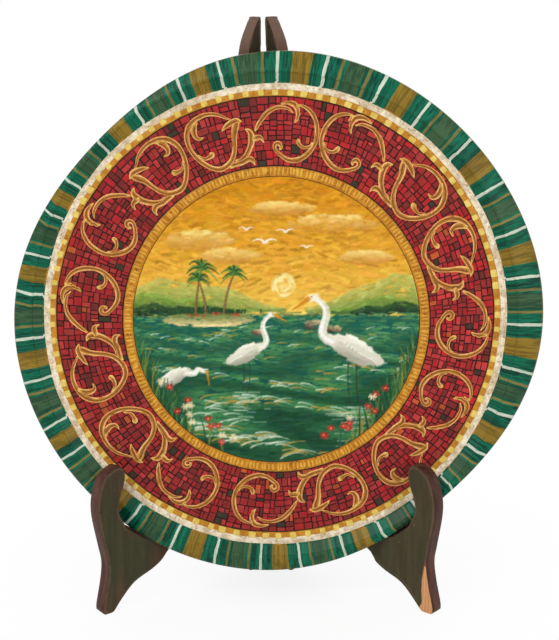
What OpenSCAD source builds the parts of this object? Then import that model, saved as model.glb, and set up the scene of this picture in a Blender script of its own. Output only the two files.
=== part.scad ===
// Painted wooden souvenir plate on its folding stand.
// Two scroll-cut boards, joined at the back by two butt hinges, open to a V.
// The plate stands on edge in the slot behind each board's hook and leans on the
// front edges of the uprights. All sizes are in millimetres; the plate faces -Y.

/* [Plate] */
// Mean diameter of the plate
plate_d = 400; // [340:1:440]
// Thickness of the flat middle
plate_t = 8; // [5:0.5:12]
// Height of the rim's crest above the flat middle
crest_h = 6; // [2:0.5:9]
// Distance of the crest in from the mean edge
crest_in = 13; // [9:0.5:20]
// Width of the cove that rises from the flat middle to the crest
cove_w = 8.5; // [5:0.5:14]
// Drop of the outer flange from the crest to the furthest edge
flange_drop = 8; // [4:0.5:9]
// Height of the bevel on the back of the rim
back_bevel_h = 3.5; // [1:0.5:4]
// Width of the bevel on the back of the rim
back_bevel_w = 20; // [10:1:30]
// How far the hand-sawn edge strays from a circle, 1 for the full waves and 0 for none
edge_wobble = 1; // [0:0.1:1.5]
// Sideways place of the plate on the stand
plate_x = 6.7; // [-10:0.1:10]
// Height of the plate's lowest edge above the floor
plate_clear = 26.6; // [20:0.2:34]
// How far the plate leans back
lean = 8.5; // [5:0.5:12]

/* [Stand] */
// Overall height of the stand
stand_h = 451; // [430:1:520]
// Thickness of the boards
board_t = 13; // [9:0.5:16]
// Angle of each board from the middle plane when the stand is open
board_angle = 52; // [46:1:56]
// Width of an upright where the plate's top edge leans on it
upright_w = 10.8; // [8:0.2:16]
// Width of an upright at its very top
tip_w = 1.6; // [1:0.2:6]
// Height of a hook above the front of its slot
hook_h = 50.5; // [40:0.5:60]
// Room between the plate's crest and the hook
hook_gap = 4.4; // [3:0.1:10]
// Thickness of a hook at its widest
hook_w = 17; // [12:0.5:24]
// Height of the arch under a board
arch_h = 41; // [30:0.5:44]
// Length of a rear foot on the floor
heel_w = 17.5; // [12:0.5:26]

/* [Hinges] */
// Length of a hinge
hinge_l = 50; // [36:1:70]
// Width of a hinge leaf from the pin to its free edge
leaf_w = 18; // [14:0.5:24]
// Thickness of a leaf
leaf_t = 1; // [0.8:0.1:1.6]
// Radius of a knuckle
knuckle_r = 2.2; // [2:0.1:3]
// Radius of a hinge pin
pin_r = 1.05; // [0.8:0.05:1.2]
// Depth of the upper hinge's middle below the plate's top edge
upper_hinge_drop = 72; // [64:1:140]
// Height of the lower hinge's middle
lower_hinge_z = 95; // [70:5:150]

/* [Screws] */
// Radius of a screw's shank
screw_r = 1.2; // [0.9:0.1:1.5]
// Radius of a screw's countersunk head
screw_head_r = 2.5; // [2.2:0.1:3]
// Length of a screw
screw_l = 9.5; // [6:0.5:11]

/* [Clearances] */
// Gap between the plate's edge or back and its seat
seat_gap = 0.3; // [0.2:0.05:0.6]
// Gap between the leaves when the stand is folded flat
fold_gap = 0.2; // [0.1:0.05:0.5]
// Running gap round a hinge pin
pin_gap = 0.05; // [0.02:0.01:0.1]
// Gap between a knuckle and what turns beside it
knuckle_gap = 0.3; // [0.2:0.05:0.5]
// Gap round a screw in its leaf
screw_gap = 0.05; // [0.02:0.01:0.1]

/* [Hidden] */
$fn = 96;

// ---- Plate ----
plate_r = plate_d / 2;
crest_r = plate_r - crest_in;
cove_r = crest_r - cove_w;
// Each wave of the hand-sawn edge: how many times it comes round, its size in mm, its turn
wobble = [[1, 2.4, -32], [2, 5.0, -70], [3, 1.1, 53], [4, 3.1, 10], [6, 0.5, 84]];
blank_r = plate_r + 12;
edge_steps = 120;

function waves(a, i = 0) = i == len(wobble) ? 0
    : wobble[i][1] * cos(wobble[i][0] * a + wobble[i][2]) + waves(a, i + 1);
function edge_r(a) = plate_r + edge_wobble * waves(a);

edge = [for (i = [0 : edge_steps - 1])
        let (a = 360 * i / edge_steps) edge_r(a) * [cos(a), sin(a)]];
edge_x = [for (p = edge) p[0]];

// ---- Stand: each board is drawn with u along the board from the hinge pin, z up ----
face_n = leaf_t + fold_gap / 2;
back_n = face_n + board_t;
rear_u = knuckle_r + knuckle_gap;
plate_z = plate_clear + plate_r * cos(lean);
top_z = plate_z + plate_r * cos(lean);
upper_hinge_z = top_z - upper_hinge_drop;

// Front edge of an upright: it leans back with the plate
lean_run = tan(lean) / cos(board_angle);
top_u = rear_u + upright_w;
function upright_u(z) = top_u + (top_z - z) * lean_run;

// The plate's back lies seat_gap in front of the uprights' inner arrises
function upright_y(z) = face_n * sin(board_angle) - upright_u(z) * cos(board_angle);
plate_y = upright_y(plate_z) - (plate_t + seat_gap) / cos(lean);

// Height of the plate's lower edge at distance x from the stand's middle, on its lower side
function low_v(x) =
    let (a = atan2(-sqrt(plate_r * plate_r - x * x), x))
    -sqrt(pow(edge_r(a), 2) - x * x);
function rim_z(x) = plate_z + cos(lean) * min(low_v(x - plate_x), low_v(-x - plate_x))
    - (plate_t - back_bevel_h / 2) * sin(lean);

// Front of the crest as it crosses a board, and where across the board's thickness that is
cross_z = plate_clear + 0.28 * plate_r;
front_y = plate_y + (plate_z - cross_z) * -tan(lean) - crest_h / cos(lean);
function cross_n(u) = max(face_n, min(back_n, (u * cos(board_angle) + front_y) / sin(board_angle)));
function slot_z(u) = rim_z(u * sin(board_angle) + cross_n(u) * cos(board_angle)) - seat_gap;

hook_u = (hook_gap - front_y + back_n * sin(board_angle)) / cos(board_angle);
slot_front_u = hook_u - 6;
slot_front_z = slot_z(slot_front_u - 1.5);
slot_low_u = hook_u - 35;
// Extra depth at the low end of the slot, where the bevelled back passes
slot_relief = 1.8;
slot_low_z = slot_z(slot_low_u) - slot_relief;
slot_rear_z = slot_low_z + 11;
arch_u = hook_u - 49;

// A smooth curve through the points p, with n steps in each stretch
function knot(p, i) = p[max(0, min(len(p) - 1, i))];
function bend(a, b, c, d, t) = 0.5 * (2 * b + (c - a) * t + (2 * a - 5 * b + 4 * c - d) * t * t
    + (3 * b - a - 3 * c + d) * t * t * t);
function smooth(p, n) = concat(
    [for (i = [0 : len(p) - 2], k = [0 : n - 1])
        bend(knot(p, i - 1), p[i], p[i + 1], knot(p, i + 2), k / n)],
    [p[len(p) - 1]]);

// Upright: rear edge, top and the tip's front, which curves back like a finger
tip_l = stand_h - top_z;
tip = concat([[rear_u, 0], [rear_u, stand_h]],
             smooth([[rear_u + tip_w, stand_h], [rear_u + 0.36 * upright_w, stand_h - 0.1 * tip_l],
                     [rear_u + 0.62 * upright_w, stand_h - 0.48 * tip_l],
                     [upright_u(top_z), top_z], [upright_u(top_z - tip_l), top_z - tip_l]], 4));
// Slot floor, as the plate's edge crosses it
slot = smooth([[upright_u(slot_rear_z), slot_rear_z],
               [slot_low_u - 4.5, slot_low_z + 2.2], [slot_low_u, slot_low_z],
               [slot_low_u + 7, slot_z(slot_low_u + 7)],
               [slot_low_u + 15, slot_z(slot_low_u + 15)],
               [slot_low_u + 23, slot_z(slot_low_u + 23)],
               [slot_front_u, slot_front_z]], 3);
// Hook, from the slot up over its nose and down its front to the neck and the toe
hook = smooth([[slot_front_u, slot_front_z], [hook_u + 0.8, slot_front_z + 14],
               [hook_u - 0.4, slot_front_z + 0.5 * hook_h],
               [hook_u - 4.2, slot_front_z + 0.7 * hook_h],
               [hook_u - 5.8, slot_front_z + 0.88 * hook_h],
               [hook_u - 2, slot_front_z + hook_h],
               [hook_u + 10, slot_front_z + 0.88 * hook_h],
               [hook_u + hook_w - 1, slot_front_z + 0.6 * hook_h],
               [hook_u + hook_w, slot_front_z + 14],
               [hook_u + hook_w - 4.5, slot_front_z - 11.5],
               [hook_u + hook_w - 7, slot_front_z - 26.5],
               [hook_u + hook_w - 5, 23], [hook_u + hook_w - 1, 5.5],
               [hook_u + hook_w - 1.2, 0]], 5);
// Underside: toe, ogee and arch, then down to the heel
function arch_point(f, g) = [rear_u + heel_w + f * (arch_u - rear_u - heel_w), g * arch_h];
under = smooth([[hook_u + 9, 0], [hook_u + 2, 8.5], [hook_u - 11, 20.5],
                [hook_u - 27, 27], [hook_u - 36, 0.78 * arch_h],
                [hook_u - 43, 0.94 * arch_h], [arch_u, arch_h],
                arch_point(0.7, 0.89), arch_point(0.43, 0.69), arch_point(0.22, 0.45),
                arch_point(0.09, 0.2), arch_point(0, 0)], 4);
board_outline = concat(tip, slot, [for (i = [1 : len(hook) - 1]) hook[i]], under);

// ---- Frame: the origin is on the floor under the middle of the whole object ----
front_u = max([for (p = board_outline) p[0]]);
near_y = face_n * sin(board_angle) - front_u * cos(board_angle);
far_y = back_n * sin(board_angle) - rear_u * cos(board_angle);
pin_x = -(plate_x + (max(edge_x) + min(edge_x)) / 2);
pin_y = -(near_y + far_y) / 2;

// ---- Hinges ----
knuckle_l = hinge_l / 3;
pin_over = 0.8;
leaf_start = knuckle_r + knuckle_gap;
screw_u = 0.58 * leaf_w;
screw_pitch = 0.34 * hinge_l;
screw_zs = [-screw_pitch, 0, screw_pitch];
head_h = 0.9 * leaf_t;
slot_w = 0.6;
slot_d = 0.5;

// Puts a thing on the hinge pins' axis
module on_pins() translate([pin_x, pin_y, 0]) children();

// Turns a thing drawn with x along the board and y away from the middle to its open place
module open_side(left) on_pins() mirror([left ? 1 : 0, 0, 0]) rotate([0, 0, board_angle - 90])
    children();

// A turned blank: flat middle, cove, crest, falling flange and bevelled back
module turned_blank() {
    cove = [for (a = [0 : 15 : 75]) [cove_r + cove_w * sin(a), crest_h * (1 - cos(a))]];
    flange_w = blank_r - crest_r;
    rotate_extrude($fn = 180) polygon(concat(
        [[0, -plate_t], [0, 0]], cove,
        [[crest_r - 0.6, crest_h - 0.4], [crest_r + 0.6, crest_h], [crest_r + 2.2, crest_h - 0.5],
         [blank_r, crest_h - flange_drop * flange_w / (crest_in + 7)],
         [blank_r, back_bevel_h - plate_t], [blank_r - back_bevel_w, -plate_t]]));
}

module plate() color([0.03, 0.36, 0.27])
    translate([pin_x + plate_x, pin_y + plate_y, plate_z]) rotate([90 - lean, 0, 0])
        intersection() {
            turned_blank();
            translate([0, 0, -2 * plate_t]) linear_extrude(4 * plate_t) polygon(edge);
        }

// Places one child at each screw of the hinge at height z, pointing out through the leaf
module at_screws(z) for (dz = screw_zs)
    translate([screw_u, fold_gap / 2, z + dz]) rotate([-90, 0, 0]) children();

// Room for a screw: shank hole and countersink, wider than the screw by gap
module screw_hole(gap) {
    translate([0, 0, -1]) cylinder(h = screw_l + 1.5, r = screw_r + gap);
    translate([0, 0, -0.01]) cylinder(h = head_h, r1 = screw_head_r + gap, r2 = screw_r + gap);
}

module board(left) color([0.30, 0.26, 0.18]) open_side(left) difference() {
    translate([0, back_n, 0]) rotate([90, 0, 0]) linear_extrude(board_t)
        polygon(board_outline);
    for (z = [upper_hinge_z, lower_hinge_z])
        at_screws(z) translate([0, 0, leaf_t / 2]) cylinder(h = screw_l, r = screw_r + screw_gap);
}

// Heights of a hinge's knuckles: the left leaf has the outer two, the right one the middle
function knuckles(left) = left ? [-1.5, 0.5] : [-0.5];

module leaf(left, z) color([0.72, 0.55, 0.25]) open_side(left) difference() {
    union() {
        translate([leaf_start, fold_gap / 2, z - hinge_l / 2])
            cube([leaf_w - leaf_start, leaf_t, hinge_l]);
        for (k = knuckles(left)) translate([0, 0, z + k * knuckle_l + knuckle_gap / 2]) {
            cylinder(h = knuckle_l - knuckle_gap, r = knuckle_r);
            translate([0, fold_gap / 2, 0])
                cube([leaf_start + 1, leaf_t, knuckle_l - knuckle_gap]);
        }
    }
    translate([0, 0, z - hinge_l]) cylinder(h = 2 * hinge_l, r = pin_r + pin_gap);
    at_screws(z) screw_hole(screw_gap);
}

module hinge_pin(z) color([0.62, 0.47, 0.22]) on_pins() {
    translate([0, 0, z - hinge_l / 2 - pin_over]) cylinder(h = hinge_l + 2 * pin_over, r = pin_r);
    for (end = [-1, 1]) translate([0, 0, z + end * (hinge_l / 2 + pin_over / 2)])
        cylinder(h = pin_over / 2, r = pin_r + 0.5, center = true);
}

// A slotted countersunk wood screw with its head flush in the leaf
module screw() difference() {
    union() {
        cylinder(h = head_h, r1 = screw_head_r, r2 = screw_r);
        cylinder(h = screw_l - 2, r = screw_r);
        translate([0, 0, screw_l - 2]) cylinder(h = 2, r1 = screw_r, r2 = 0.2);
    }
    translate([-slot_w / 2, -screw_head_r - 1, -1]) cube([slot_w, 2 * screw_head_r + 2, 1 + slot_d]);
}

module screws(left, z) color([0.78, 0.66, 0.38]) open_side(left) at_screws(z) screw();

plate();
board(true);  // left_board
board(false);  // right_board
leaf(true, upper_hinge_z);  // upper_left_leaf
leaf(false, upper_hinge_z);  // upper_right_leaf
hinge_pin(upper_hinge_z);  // upper_hinge_pin
leaf(true, lower_hinge_z);  // lower_left_leaf
leaf(false, lower_hinge_z);  // lower_right_leaf
hinge_pin(lower_hinge_z);  // lower_hinge_pin
screws(true, upper_hinge_z);  // upper_left_screws
screws(false, upper_hinge_z);  // upper_right_screws
screws(true, lower_hinge_z);  // lower_left_screws
screws(false, lower_hinge_z);  // lower_right_screws
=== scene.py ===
# %% [markdown]
# A painted wooden souvenir plate on its folding stand. A plate like this is turned from one
# round of pale wood, painted on the face, and varnished. It leans on two sawn boards that are
# hinged together down the back. The sizes were settled in CAD, so this script first loads the
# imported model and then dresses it: every painted layer is a thin piece of its own, laid on the
# plate's face, and the two boards get rounded, worn edges.

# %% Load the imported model
import bmesh
import bpy
import math
import numpy as np
import random
from mathutils import Euler, Matrix, Vector
from mathutils.kdtree import KDTree


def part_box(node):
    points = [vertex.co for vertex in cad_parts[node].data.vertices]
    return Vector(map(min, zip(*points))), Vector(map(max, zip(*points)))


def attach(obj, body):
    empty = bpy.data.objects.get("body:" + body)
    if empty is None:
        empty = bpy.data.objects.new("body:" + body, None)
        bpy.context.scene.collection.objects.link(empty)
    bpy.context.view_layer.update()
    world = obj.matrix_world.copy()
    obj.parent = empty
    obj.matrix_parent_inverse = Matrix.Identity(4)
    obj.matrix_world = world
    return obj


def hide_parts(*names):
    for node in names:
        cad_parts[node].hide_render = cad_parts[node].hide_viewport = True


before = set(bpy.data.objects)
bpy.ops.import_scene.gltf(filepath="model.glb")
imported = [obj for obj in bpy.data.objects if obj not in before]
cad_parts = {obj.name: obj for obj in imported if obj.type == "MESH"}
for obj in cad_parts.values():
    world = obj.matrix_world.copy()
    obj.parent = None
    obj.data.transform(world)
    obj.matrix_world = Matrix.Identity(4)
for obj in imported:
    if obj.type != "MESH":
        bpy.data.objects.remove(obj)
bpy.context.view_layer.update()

print("nodes:", sorted(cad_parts))

# %% [markdown]
# The camera stands where a person holding one would, a little above the plate and just right of
# its middle. It is a long lens, so the round plate stays round.

# %% Camera
camera_data = bpy.data.cameras.new("camera")
camera_data.sensor_fit = "HORIZONTAL"
camera_data.sensor_width = 36
camera_data.lens = 95.3
camera_data.clip_end = 20
camera = bpy.data.objects.new("camera", camera_data)
bpy.context.collection.objects.link(camera)
camera.location = (0.0323, -1.1118, 0.4916)
pitch, yaw, roll = (math.radians(angle) for angle in (90 - 13.636, 1.591, -0.778))
aim = Euler((pitch, 0, yaw)).to_matrix() @ Matrix.Rotation(roll, 3, "Z")
camera.rotation_euler = aim.to_euler()
bpy.context.scene.camera = camera
bpy.context.scene.view_settings.view_transform = "Standard"
print("camera at", tuple(camera.location))

# %% [markdown]
# Small helpers come next. Colours are written the way a paint chart gives them, 0 to 255, and
# turned into the linear values that Blender mixes with. `put` adds a node and fills its sockets
# in one go, which keeps the materials further down short.

# %% Helpers for colours and nodes
def paint(red, green, blue):
    """A paint chart colour as linear red, green, blue and alpha."""
    levels = [c / 255 for c in (red, green, blue)]
    return tuple(c / 12.92 if c <= 0.04045 else ((c + 0.055) / 1.055) ** 2.4 for c in levels) + (1.0,)


def put(tree, kind, sockets=None, **settings):
    """Add one node, set its settings, and fill or link its sockets."""
    made = tree.nodes.new(kind)
    for name, value in settings.items():
        setattr(made, name, value)
    for key, value in (sockets or {}).items():
        if isinstance(value, bpy.types.NodeSocket):
            tree.links.new(value, made.inputs[key])
        else:
            made.inputs[key].default_value = value
    return made


def calc(tree, operation, first, second=0.0, third=0.0):
    """One Math node, giving back its output."""
    return put(tree, "ShaderNodeMath", {0: first, 1: second, 2: third}, operation=operation).outputs[0]


def times(tree, first, second):
    return calc(tree, "MULTIPLY", first, second)


def plus(tree, first, second):
    return calc(tree, "ADD", first, second)


def minus(tree, first, second):
    return calc(tree, "SUBTRACT", first, second)


def scaled(tree, value, factor, offset):
    """value x factor + offset"""
    return calc(tree, "MULTIPLY_ADD", value, factor, offset)


def mix(tree, mask, below, above, how="MIX"):
    """Lay one colour over another where the mask is 1."""
    made = put(tree, "ShaderNodeMix", {0: mask, 6: below, 7: above}, data_type="RGBA", blend_type=how)
    return made.outputs[2]


def tint(tree, colour, mask, share, above):
    """Lay a colour over another, no stronger than the share."""
    return mix(tree, times(tree, mask, share), colour, above)


def step(tree, value, low, high):
    """A soft step from 0 at low to 1 at high; low may be the larger."""
    ramp = put(tree, "ShaderNodeMapRange", {0: value, 1: low, 2: high}, interpolation_type="SMOOTHSTEP")
    return ramp.outputs[0]


def noise(tree, place, scale, detail=3.0, rough=0.55, warp=0.0):
    """Noise in 0 to 1 around 0.5."""
    sockets = {"Vector": place, "Scale": scale, "Detail": detail, "Roughness": rough, "Distortion": warp}
    return put(tree, "ShaderNodeTexNoise", sockets).outputs[0]


def stretch(tree, place, scale, turn=(0, 0, 0)):
    """Turn and stretch a pattern's coordinates."""
    return put(tree, "ShaderNodeMapping", {"Vector": place, "Rotation": turn, "Scale": scale}).outputs[0]


def objects_place(tree):
    return put(tree, "ShaderNodeTexCoord").outputs["Object"]


def painted(tree, name, output="Fac"):
    """A value or colour that the mesh carries."""
    return put(tree, "ShaderNodeAttribute", attribute_name=name, attribute_type="GEOMETRY").outputs[output]


def new_group(name, inputs, outputs):
    """An empty shader node group: inputs with their first values, None for a vector."""
    group = bpy.data.node_groups.new(name, "ShaderNodeTree")
    for label, value in inputs.items():
        kind = "NodeSocketVector" if value is None else "NodeSocketFloat"
        socket = group.interface.new_socket(label, in_out="INPUT", socket_type=kind)
        if value is not None:
            socket.default_value = value
    for label in outputs:
        group.interface.new_socket(label, in_out="OUTPUT", socket_type="NodeSocketFloat")
    return group, put(group, "NodeGroupInput").outputs, put(group, "NodeGroupOutput").inputs


def use(tree, group, sockets):
    """Place a shader node group in a material, giving back its outputs."""
    return put(tree, "ShaderNodeGroup", sockets, node_tree=group).outputs


def new_material(name, gloss=0.14, roughness=0.4, metallic=0.0):
    """A material with its Principled shader, ready for colour, roughness and bump."""
    material = bpy.data.materials.new(name)
    material.use_nodes = True
    tree = material.node_tree
    shader = tree.nodes["Principled BSDF"]
    shader.inputs["Specular IOR Level"].default_value = gloss
    shader.inputs["Roughness"].default_value = roughness
    shader.inputs["Metallic"].default_value = metallic
    return material, tree, shader


def dress(tree, shader, colour, rough, height, distance, strength=0.5):
    """Give a material its colour, roughness and relief, with the relief's depth in metres."""
    bump = put(tree, "ShaderNodeBump", {"Height": height, "Distance": distance, "Strength": strength})
    tree.links.new(colour, shader.inputs["Base Color"])
    tree.links.new(rough, shader.inputs["Roughness"])
    tree.links.new(bump.outputs[0], shader.inputs["Normal"])

# %% [markdown]
# Four effects turn up in more than one finish: the streaks a brush leaves, flecks spattered or
# rubbed into paint, the grain of wood, and an arris (the sharp edge between two faces) worn
# through by handling. Each is a node group with its own named inputs, built once.

# %% Node group: brush streaks
streaks, given, result = new_group("brush streaks", {"Vector": None, "Scale": 1.0}, ("Tone", "Height"))
hairs = noise(streaks, given["Vector"], given["Scale"], 5.0, 0.62, 0.15)
loads = noise(streaks, given["Vector"], times(streaks, given["Scale"], 0.31))
both = plus(streaks, times(streaks, hairs, 0.6), times(streaks, loads, 0.4))
streaks.links.new(step(streaks, both, 0.36, 0.64), result["Tone"])
streaks.links.new(hairs, result["Height"])

# %% Node group: flecks
flecks, given, result = new_group("flecks", {"Vector": None, "Scale": 1.0, "Amount": 0.3}, ("Mask",))
grains = noise(flecks, given["Vector"], given["Scale"], 4.0, 0.7)
level = minus(flecks, 0.72, times(flecks, given["Amount"], 0.4))
flecks.links.new(step(flecks, minus(flecks, grains, level), -0.02, 0.06), result["Mask"])

# %% Node group: wood grain
grain, given, result = new_group("wood grain", {"Vector": None, "Scale": 1.0}, ("Tone", "Height"))
rings = put(grain, "ShaderNodeTexWave", {
    "Vector": given["Vector"], "Scale": given["Scale"], "Distortion": 11.0, "Detail": 3.0,
    "Detail Scale": 0.7}, bands_direction="X").outputs[1]
pores = noise(grain, given["Vector"], times(grain, given["Scale"], 6.0), 4.0, 0.6)
tone = plus(grain, times(grain, rings, 0.4), times(grain, pores, 0.6))
grain.links.new(tone, result["Tone"])
grain.links.new(pores, result["Height"])

# %% Node group: worn arris
worn, given, result = new_group("worn arris", {"Gap": 0.0, "Vector": None, "Reach": 1.0}, ("Mask",))
knocks = noise(worn, given["Vector"], 60.0, 5.0, 0.65)
reach = times(worn, given["Reach"], scaled(worn, knocks, 3.2, -0.75))
worn.links.new(step(worn, minus(worn, reach, given["Gap"]), -0.35, 0.35), result["Mask"])
print("groups:", sorted(group.name for group in bpy.data.node_groups))

# %% [markdown]
# The painted layers are all laid out on the plate's own axes: right, up the leaning face, and
# out from it. The plate's outline isn't a true circle, because an old turned plate shrinks
# across its grain, so the rim's outer part follows a slow wobble. `on_plate` turns millimetres
# on the plate into the shared frame in metres.

# %% The plate's own axes, outline and face profile
LEAN = math.radians(8.5)
CENTRE = np.array((-2.697, -1.166, 224.403))
RIGHT = np.array((1.0, 0.0, 0.0))
UP = np.array((0.0, math.sin(LEAN), math.cos(LEAN)))
OUT = np.array((0.0, -math.cos(LEAN), math.sin(LEAN)))
WOBBLE = [(1, 2.4, -32), (2, 5.0, -70), (3, 1.1, 53), (4, 3.1, 10), (6, 0.5, 84)]
FACE_R = [0, 178.5, 180.7, 182.75, 184.51, 185.86, 186.6, 186.85, 187.5, 189.2, 212]
FACE_H = [0, 0, 0.2, 0.8, 1.76, 3.0, 4.3, 5.4, 6.0, 5.5, -4.0]
BACK_R = [0, 192, 212]
BACK_H = [-8, -8, -4.5]
EDGE = 200
FLANGE = 189.2
DRIFT = (1.5, -2.5)


def edge_radius(angle):
    """The sawn edge, in millimetres from the middle, at an angle going anticlockwise from the right."""
    return EDGE + sum(size * np.cos(n * angle + math.radians(turn)) for n, size, turn in WOBBLE)


def true_radius(radius, angle):
    """Stretch the flange, drawn as if the plate were round, out to the real edge."""
    share = np.maximum(radius - FLANGE, 0) / (EDGE - FLANGE)
    return np.where(radius > FLANGE, FLANGE + share * (edge_radius(angle) - FLANGE), radius)


def polar(radius, angle):
    """Right and up in millimetres. The inner rings were struck off centre by DRIFT, and the rings
    below the rim were drawn by hand, so they waver."""
    share = np.clip((169.3 - radius) / 50.8, 0, 1)
    waver = -0.5 - 0.7 * np.cos(2 * angle + 1.75) + 0.45 * np.cos(angle - 0.7)
    waver = waver + 0.16 * np.sin(17 * angle) + 0.13 * np.sin(29 * angle + 2)
    radius = radius + waver * np.interp(radius, [150, 169, 174, 180, 186], [0, 0.55, 1, 1, 0])
    return radius * np.cos(angle) + DRIFT[0] * share, radius * np.sin(angle) + DRIFT[1] * share


def on_plate(right, up, out):
    """From millimetres on the plate to the shared frame."""
    right, up, out = (np.asarray(v, float)[..., None] for v in np.broadcast_arrays(right, up, out))
    return (CENTRE + right * RIGHT + up * UP + out * OUT) * 0.001


def from_plate(place):
    """From the shared frame to right, up and out on the plate, in millimetres."""
    away = np.asarray(place) * 1000 - CENTRE
    return away @ RIGHT, away @ UP, away @ OUT


# %% [markdown]
# Every ring of paint is a closed band: a face that you see, and a hidden underside sunk into the
# layer below, so that no gap shows however close you look. A band is a short section, a list of
# (radius, height above the wood) points, carried round the plate. Its texture layout is flat, as
# if seen straight from the front, which is how the plate was painted.

# %% Making bands and finished pieces
MAP_SIDE = 424
MAP_CORNER = -198


def finish_piece(name, points, faces, material, maps=None, values=None, weld=None):
    """A mesh piece in the shared frame, with its texture maps and painted values."""
    mesh = bpy.data.meshes.new(name)
    mesh.from_pydata([tuple(p) for p in points], [], faces)
    for label, corners in (maps or {}).items():
        mesh.uv_layers.new(name=label).data.foreach_set("uv", np.asarray(corners, np.float32).ravel())
    for label, (kind, data) in (values or {}).items():
        key = "color" if kind == "FLOAT_COLOR" else "value"
        made = mesh.attributes.new(label, kind, "POINT")
        made.data.foreach_set(key, np.asarray(data, np.float32).ravel())
    if weld is not None:
        shape = bmesh.new()
        shape.from_mesh(mesh)
        if weld > 0:
            bmesh.ops.remove_doubles(shape, verts=shape.verts, dist=weld)
        bmesh.ops.recalc_face_normals(shape, faces=shape.faces)
        shape.to_mesh(mesh)
        shape.free()
    mesh.materials.append(material)
    return keep_mesh(mesh, name)


def keep_mesh(mesh, name, body="dish", node="plate", smooth=True):
    """Make a mesh a finished piece, attach it to what it rides on, and hide the CAD part it takes the place
    of.
    """
    mesh.polygons.foreach_set("use_smooth", [smooth] * len(mesh.polygons))
    mesh.update()
    piece = bpy.data.objects.new(name, mesh)
    bpy.context.collection.objects.link(piece)
    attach(piece, body)
    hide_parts(node)
    triangles = sum(len(face.vertices) - 2 for face in mesh.polygons)
    print(f"{name}: {triangles} triangles on {body}")
    return piece


def flat_map(right, up):
    """Millimetres on the plate as a place in its texture layout."""
    return np.stack((0.5 + np.asarray(right) / MAP_SIDE, 0.5 + np.asarray(up) / MAP_SIDE), axis=-1)


def on_face(profile):
    """Radius and height points, measured from the plate's face."""
    return [(radius, height, "face") for radius, height in profile]


def band(name, section, hidden, material, sections=720, back=False, laps=None):
    """Carry a closed section of (radius, height, side) points round the plate.
    The section's faces from number `hidden` on aren't seen, and share a corner of the map."""
    angle = np.arange(sections) * 2 * math.pi / sections
    rows = []
    for radius, height, side in section:
        real = true_radius(radius, angle)
        base = np.interp(real, FACE_R, FACE_H) if side == "face" else np.interp(real, BACK_R, BACK_H)
        right, up = polar(real, angle)
        rows.append(on_plate(right, up, base + height))
    points = np.stack(rows, axis=1)
    run = np.linalg.norm(points - np.roll(points, 1, axis=1), axis=2).mean(axis=0) * 1000
    run[0] = 0 if back else section[0][0]
    along = np.cumsum(run)
    count = len(section)
    faces, corners, wraps = [], [], []
    for i in range(sections):
        after = (i + 1) % sections
        for j in range(count):
            k = (j + 1) % count
            faces.append((i * count + j, after * count + j, after * count + k, i * count + k))
            for turn, row in ((i, j), (i + 1, j), (i + 1, k), (i, k)):
                spot = 2 * math.pi * turn / sections
                if j < hidden:
                    corner, far = 0, along[row] * 0.985
                else:
                    corner, far = MAP_CORNER, 9 + 2.5 * (row or count) / count
                corners.append(flat_map(corner + far * math.cos(spot), corner + far * math.sin(spot)))
                if laps is not None:
                    edge = (along[row] - along[0]) / (along[hidden] - along[0]) if j < hidden else 0.5
                    wraps.append((laps(spot), edge))
    maps = {"OFBake": corners}
    if laps is not None:
        maps["laps"] = wraps
    piece = finish_piece(name, points.reshape(-1, 3), faces, material, maps=maps, weld=1e-6)
    piece.data.set_sharp_from_angle(angle=math.radians(35))
    return piece

# %% [markdown]
# Under the paint is the turned plate itself: one round of pale hardwood with a flat middle, a
# small cove rising to a bead, a rim that falls away to a thin edge, and a bevelled back. The
# back was sealed with a brown stain and shows the grain and the fine rings of the lathe tool.
# The grain runs in one direction over the whole round, so its pattern follows the piece's own
# coordinates, turned to lie on the plate's axes.

# %% Stained wood of the plate
wood, tree, shader = new_material("stained plate wood", gloss=0.25, roughness=0.42)
place = stretch(tree, objects_place(tree), (1, 1, 1), (LEAN - math.pi / 2, 0, 0))
fibre = use(tree, grain, {"Vector": stretch(tree, place, (26, 2.6, 26)), "Scale": 1.0})
centred = put(tree, "ShaderNodeMapping", {"Vector": place, "Location": (0.0027, -0.2226, 0.0)}).outputs[0]
lathe = put(tree, "ShaderNodeTexWave", {"Vector": centred, "Scale": 110.0, "Distortion": 0.4},
            wave_type="RINGS", rings_direction="Z").outputs[1]
stain = mix(tree, fibre["Tone"], paint(88, 56, 34), paint(138, 96, 60))
dirt = use(tree, flecks, {"Vector": place, "Scale": 70.0, "Amount": 0.22})
stain = tint(tree, stain, dirt["Mask"], 0.3, paint(52, 36, 26))
relief = plus(tree, times(tree, lathe, 0.35), fibre["Height"])
dress(tree, shader, stain, scaled(tree, fibre["Height"], 0.25, 0.32), relief, 0.0004)

# %% The turned plate
front = [(0.001, -0.4), (60, -0.4), (120, -0.4), (178.5, -0.3), (182.75, -0.3), (185.86, -0.4), (187.5, -1.4),
         (189.2, -0.9), (196, -0.3), (198.4, -0.35), (199.4, -0.9), (199.8, -1.9)]
behind = [(199.8, 2.0), (199.5, 1.0), (198.9, 0.3), (197.6, 0), (192, 0), (186, 0), (120, 0), (60, 0),
          (0.001, 0)]
section = on_face(front) + [(radius, height, "back") for radius, height in behind]
band("plate_wood", section[::-1], 12, wood, sections=360, back=True)

# %% [markdown]
# The rim is painted in dark green with the brush drawn outwards, then divided by 34 cream lines
# struck by eye. Between them two designs take turns: a broad olive band, and a grey-green block
# with a thin olive stripe at each side. The painted face carries a map called "laps": its first
# number counts the lines as you go round, its second goes from the cove to the edge, so the
# stripes can be set out with plain arithmetic in the material.

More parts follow.
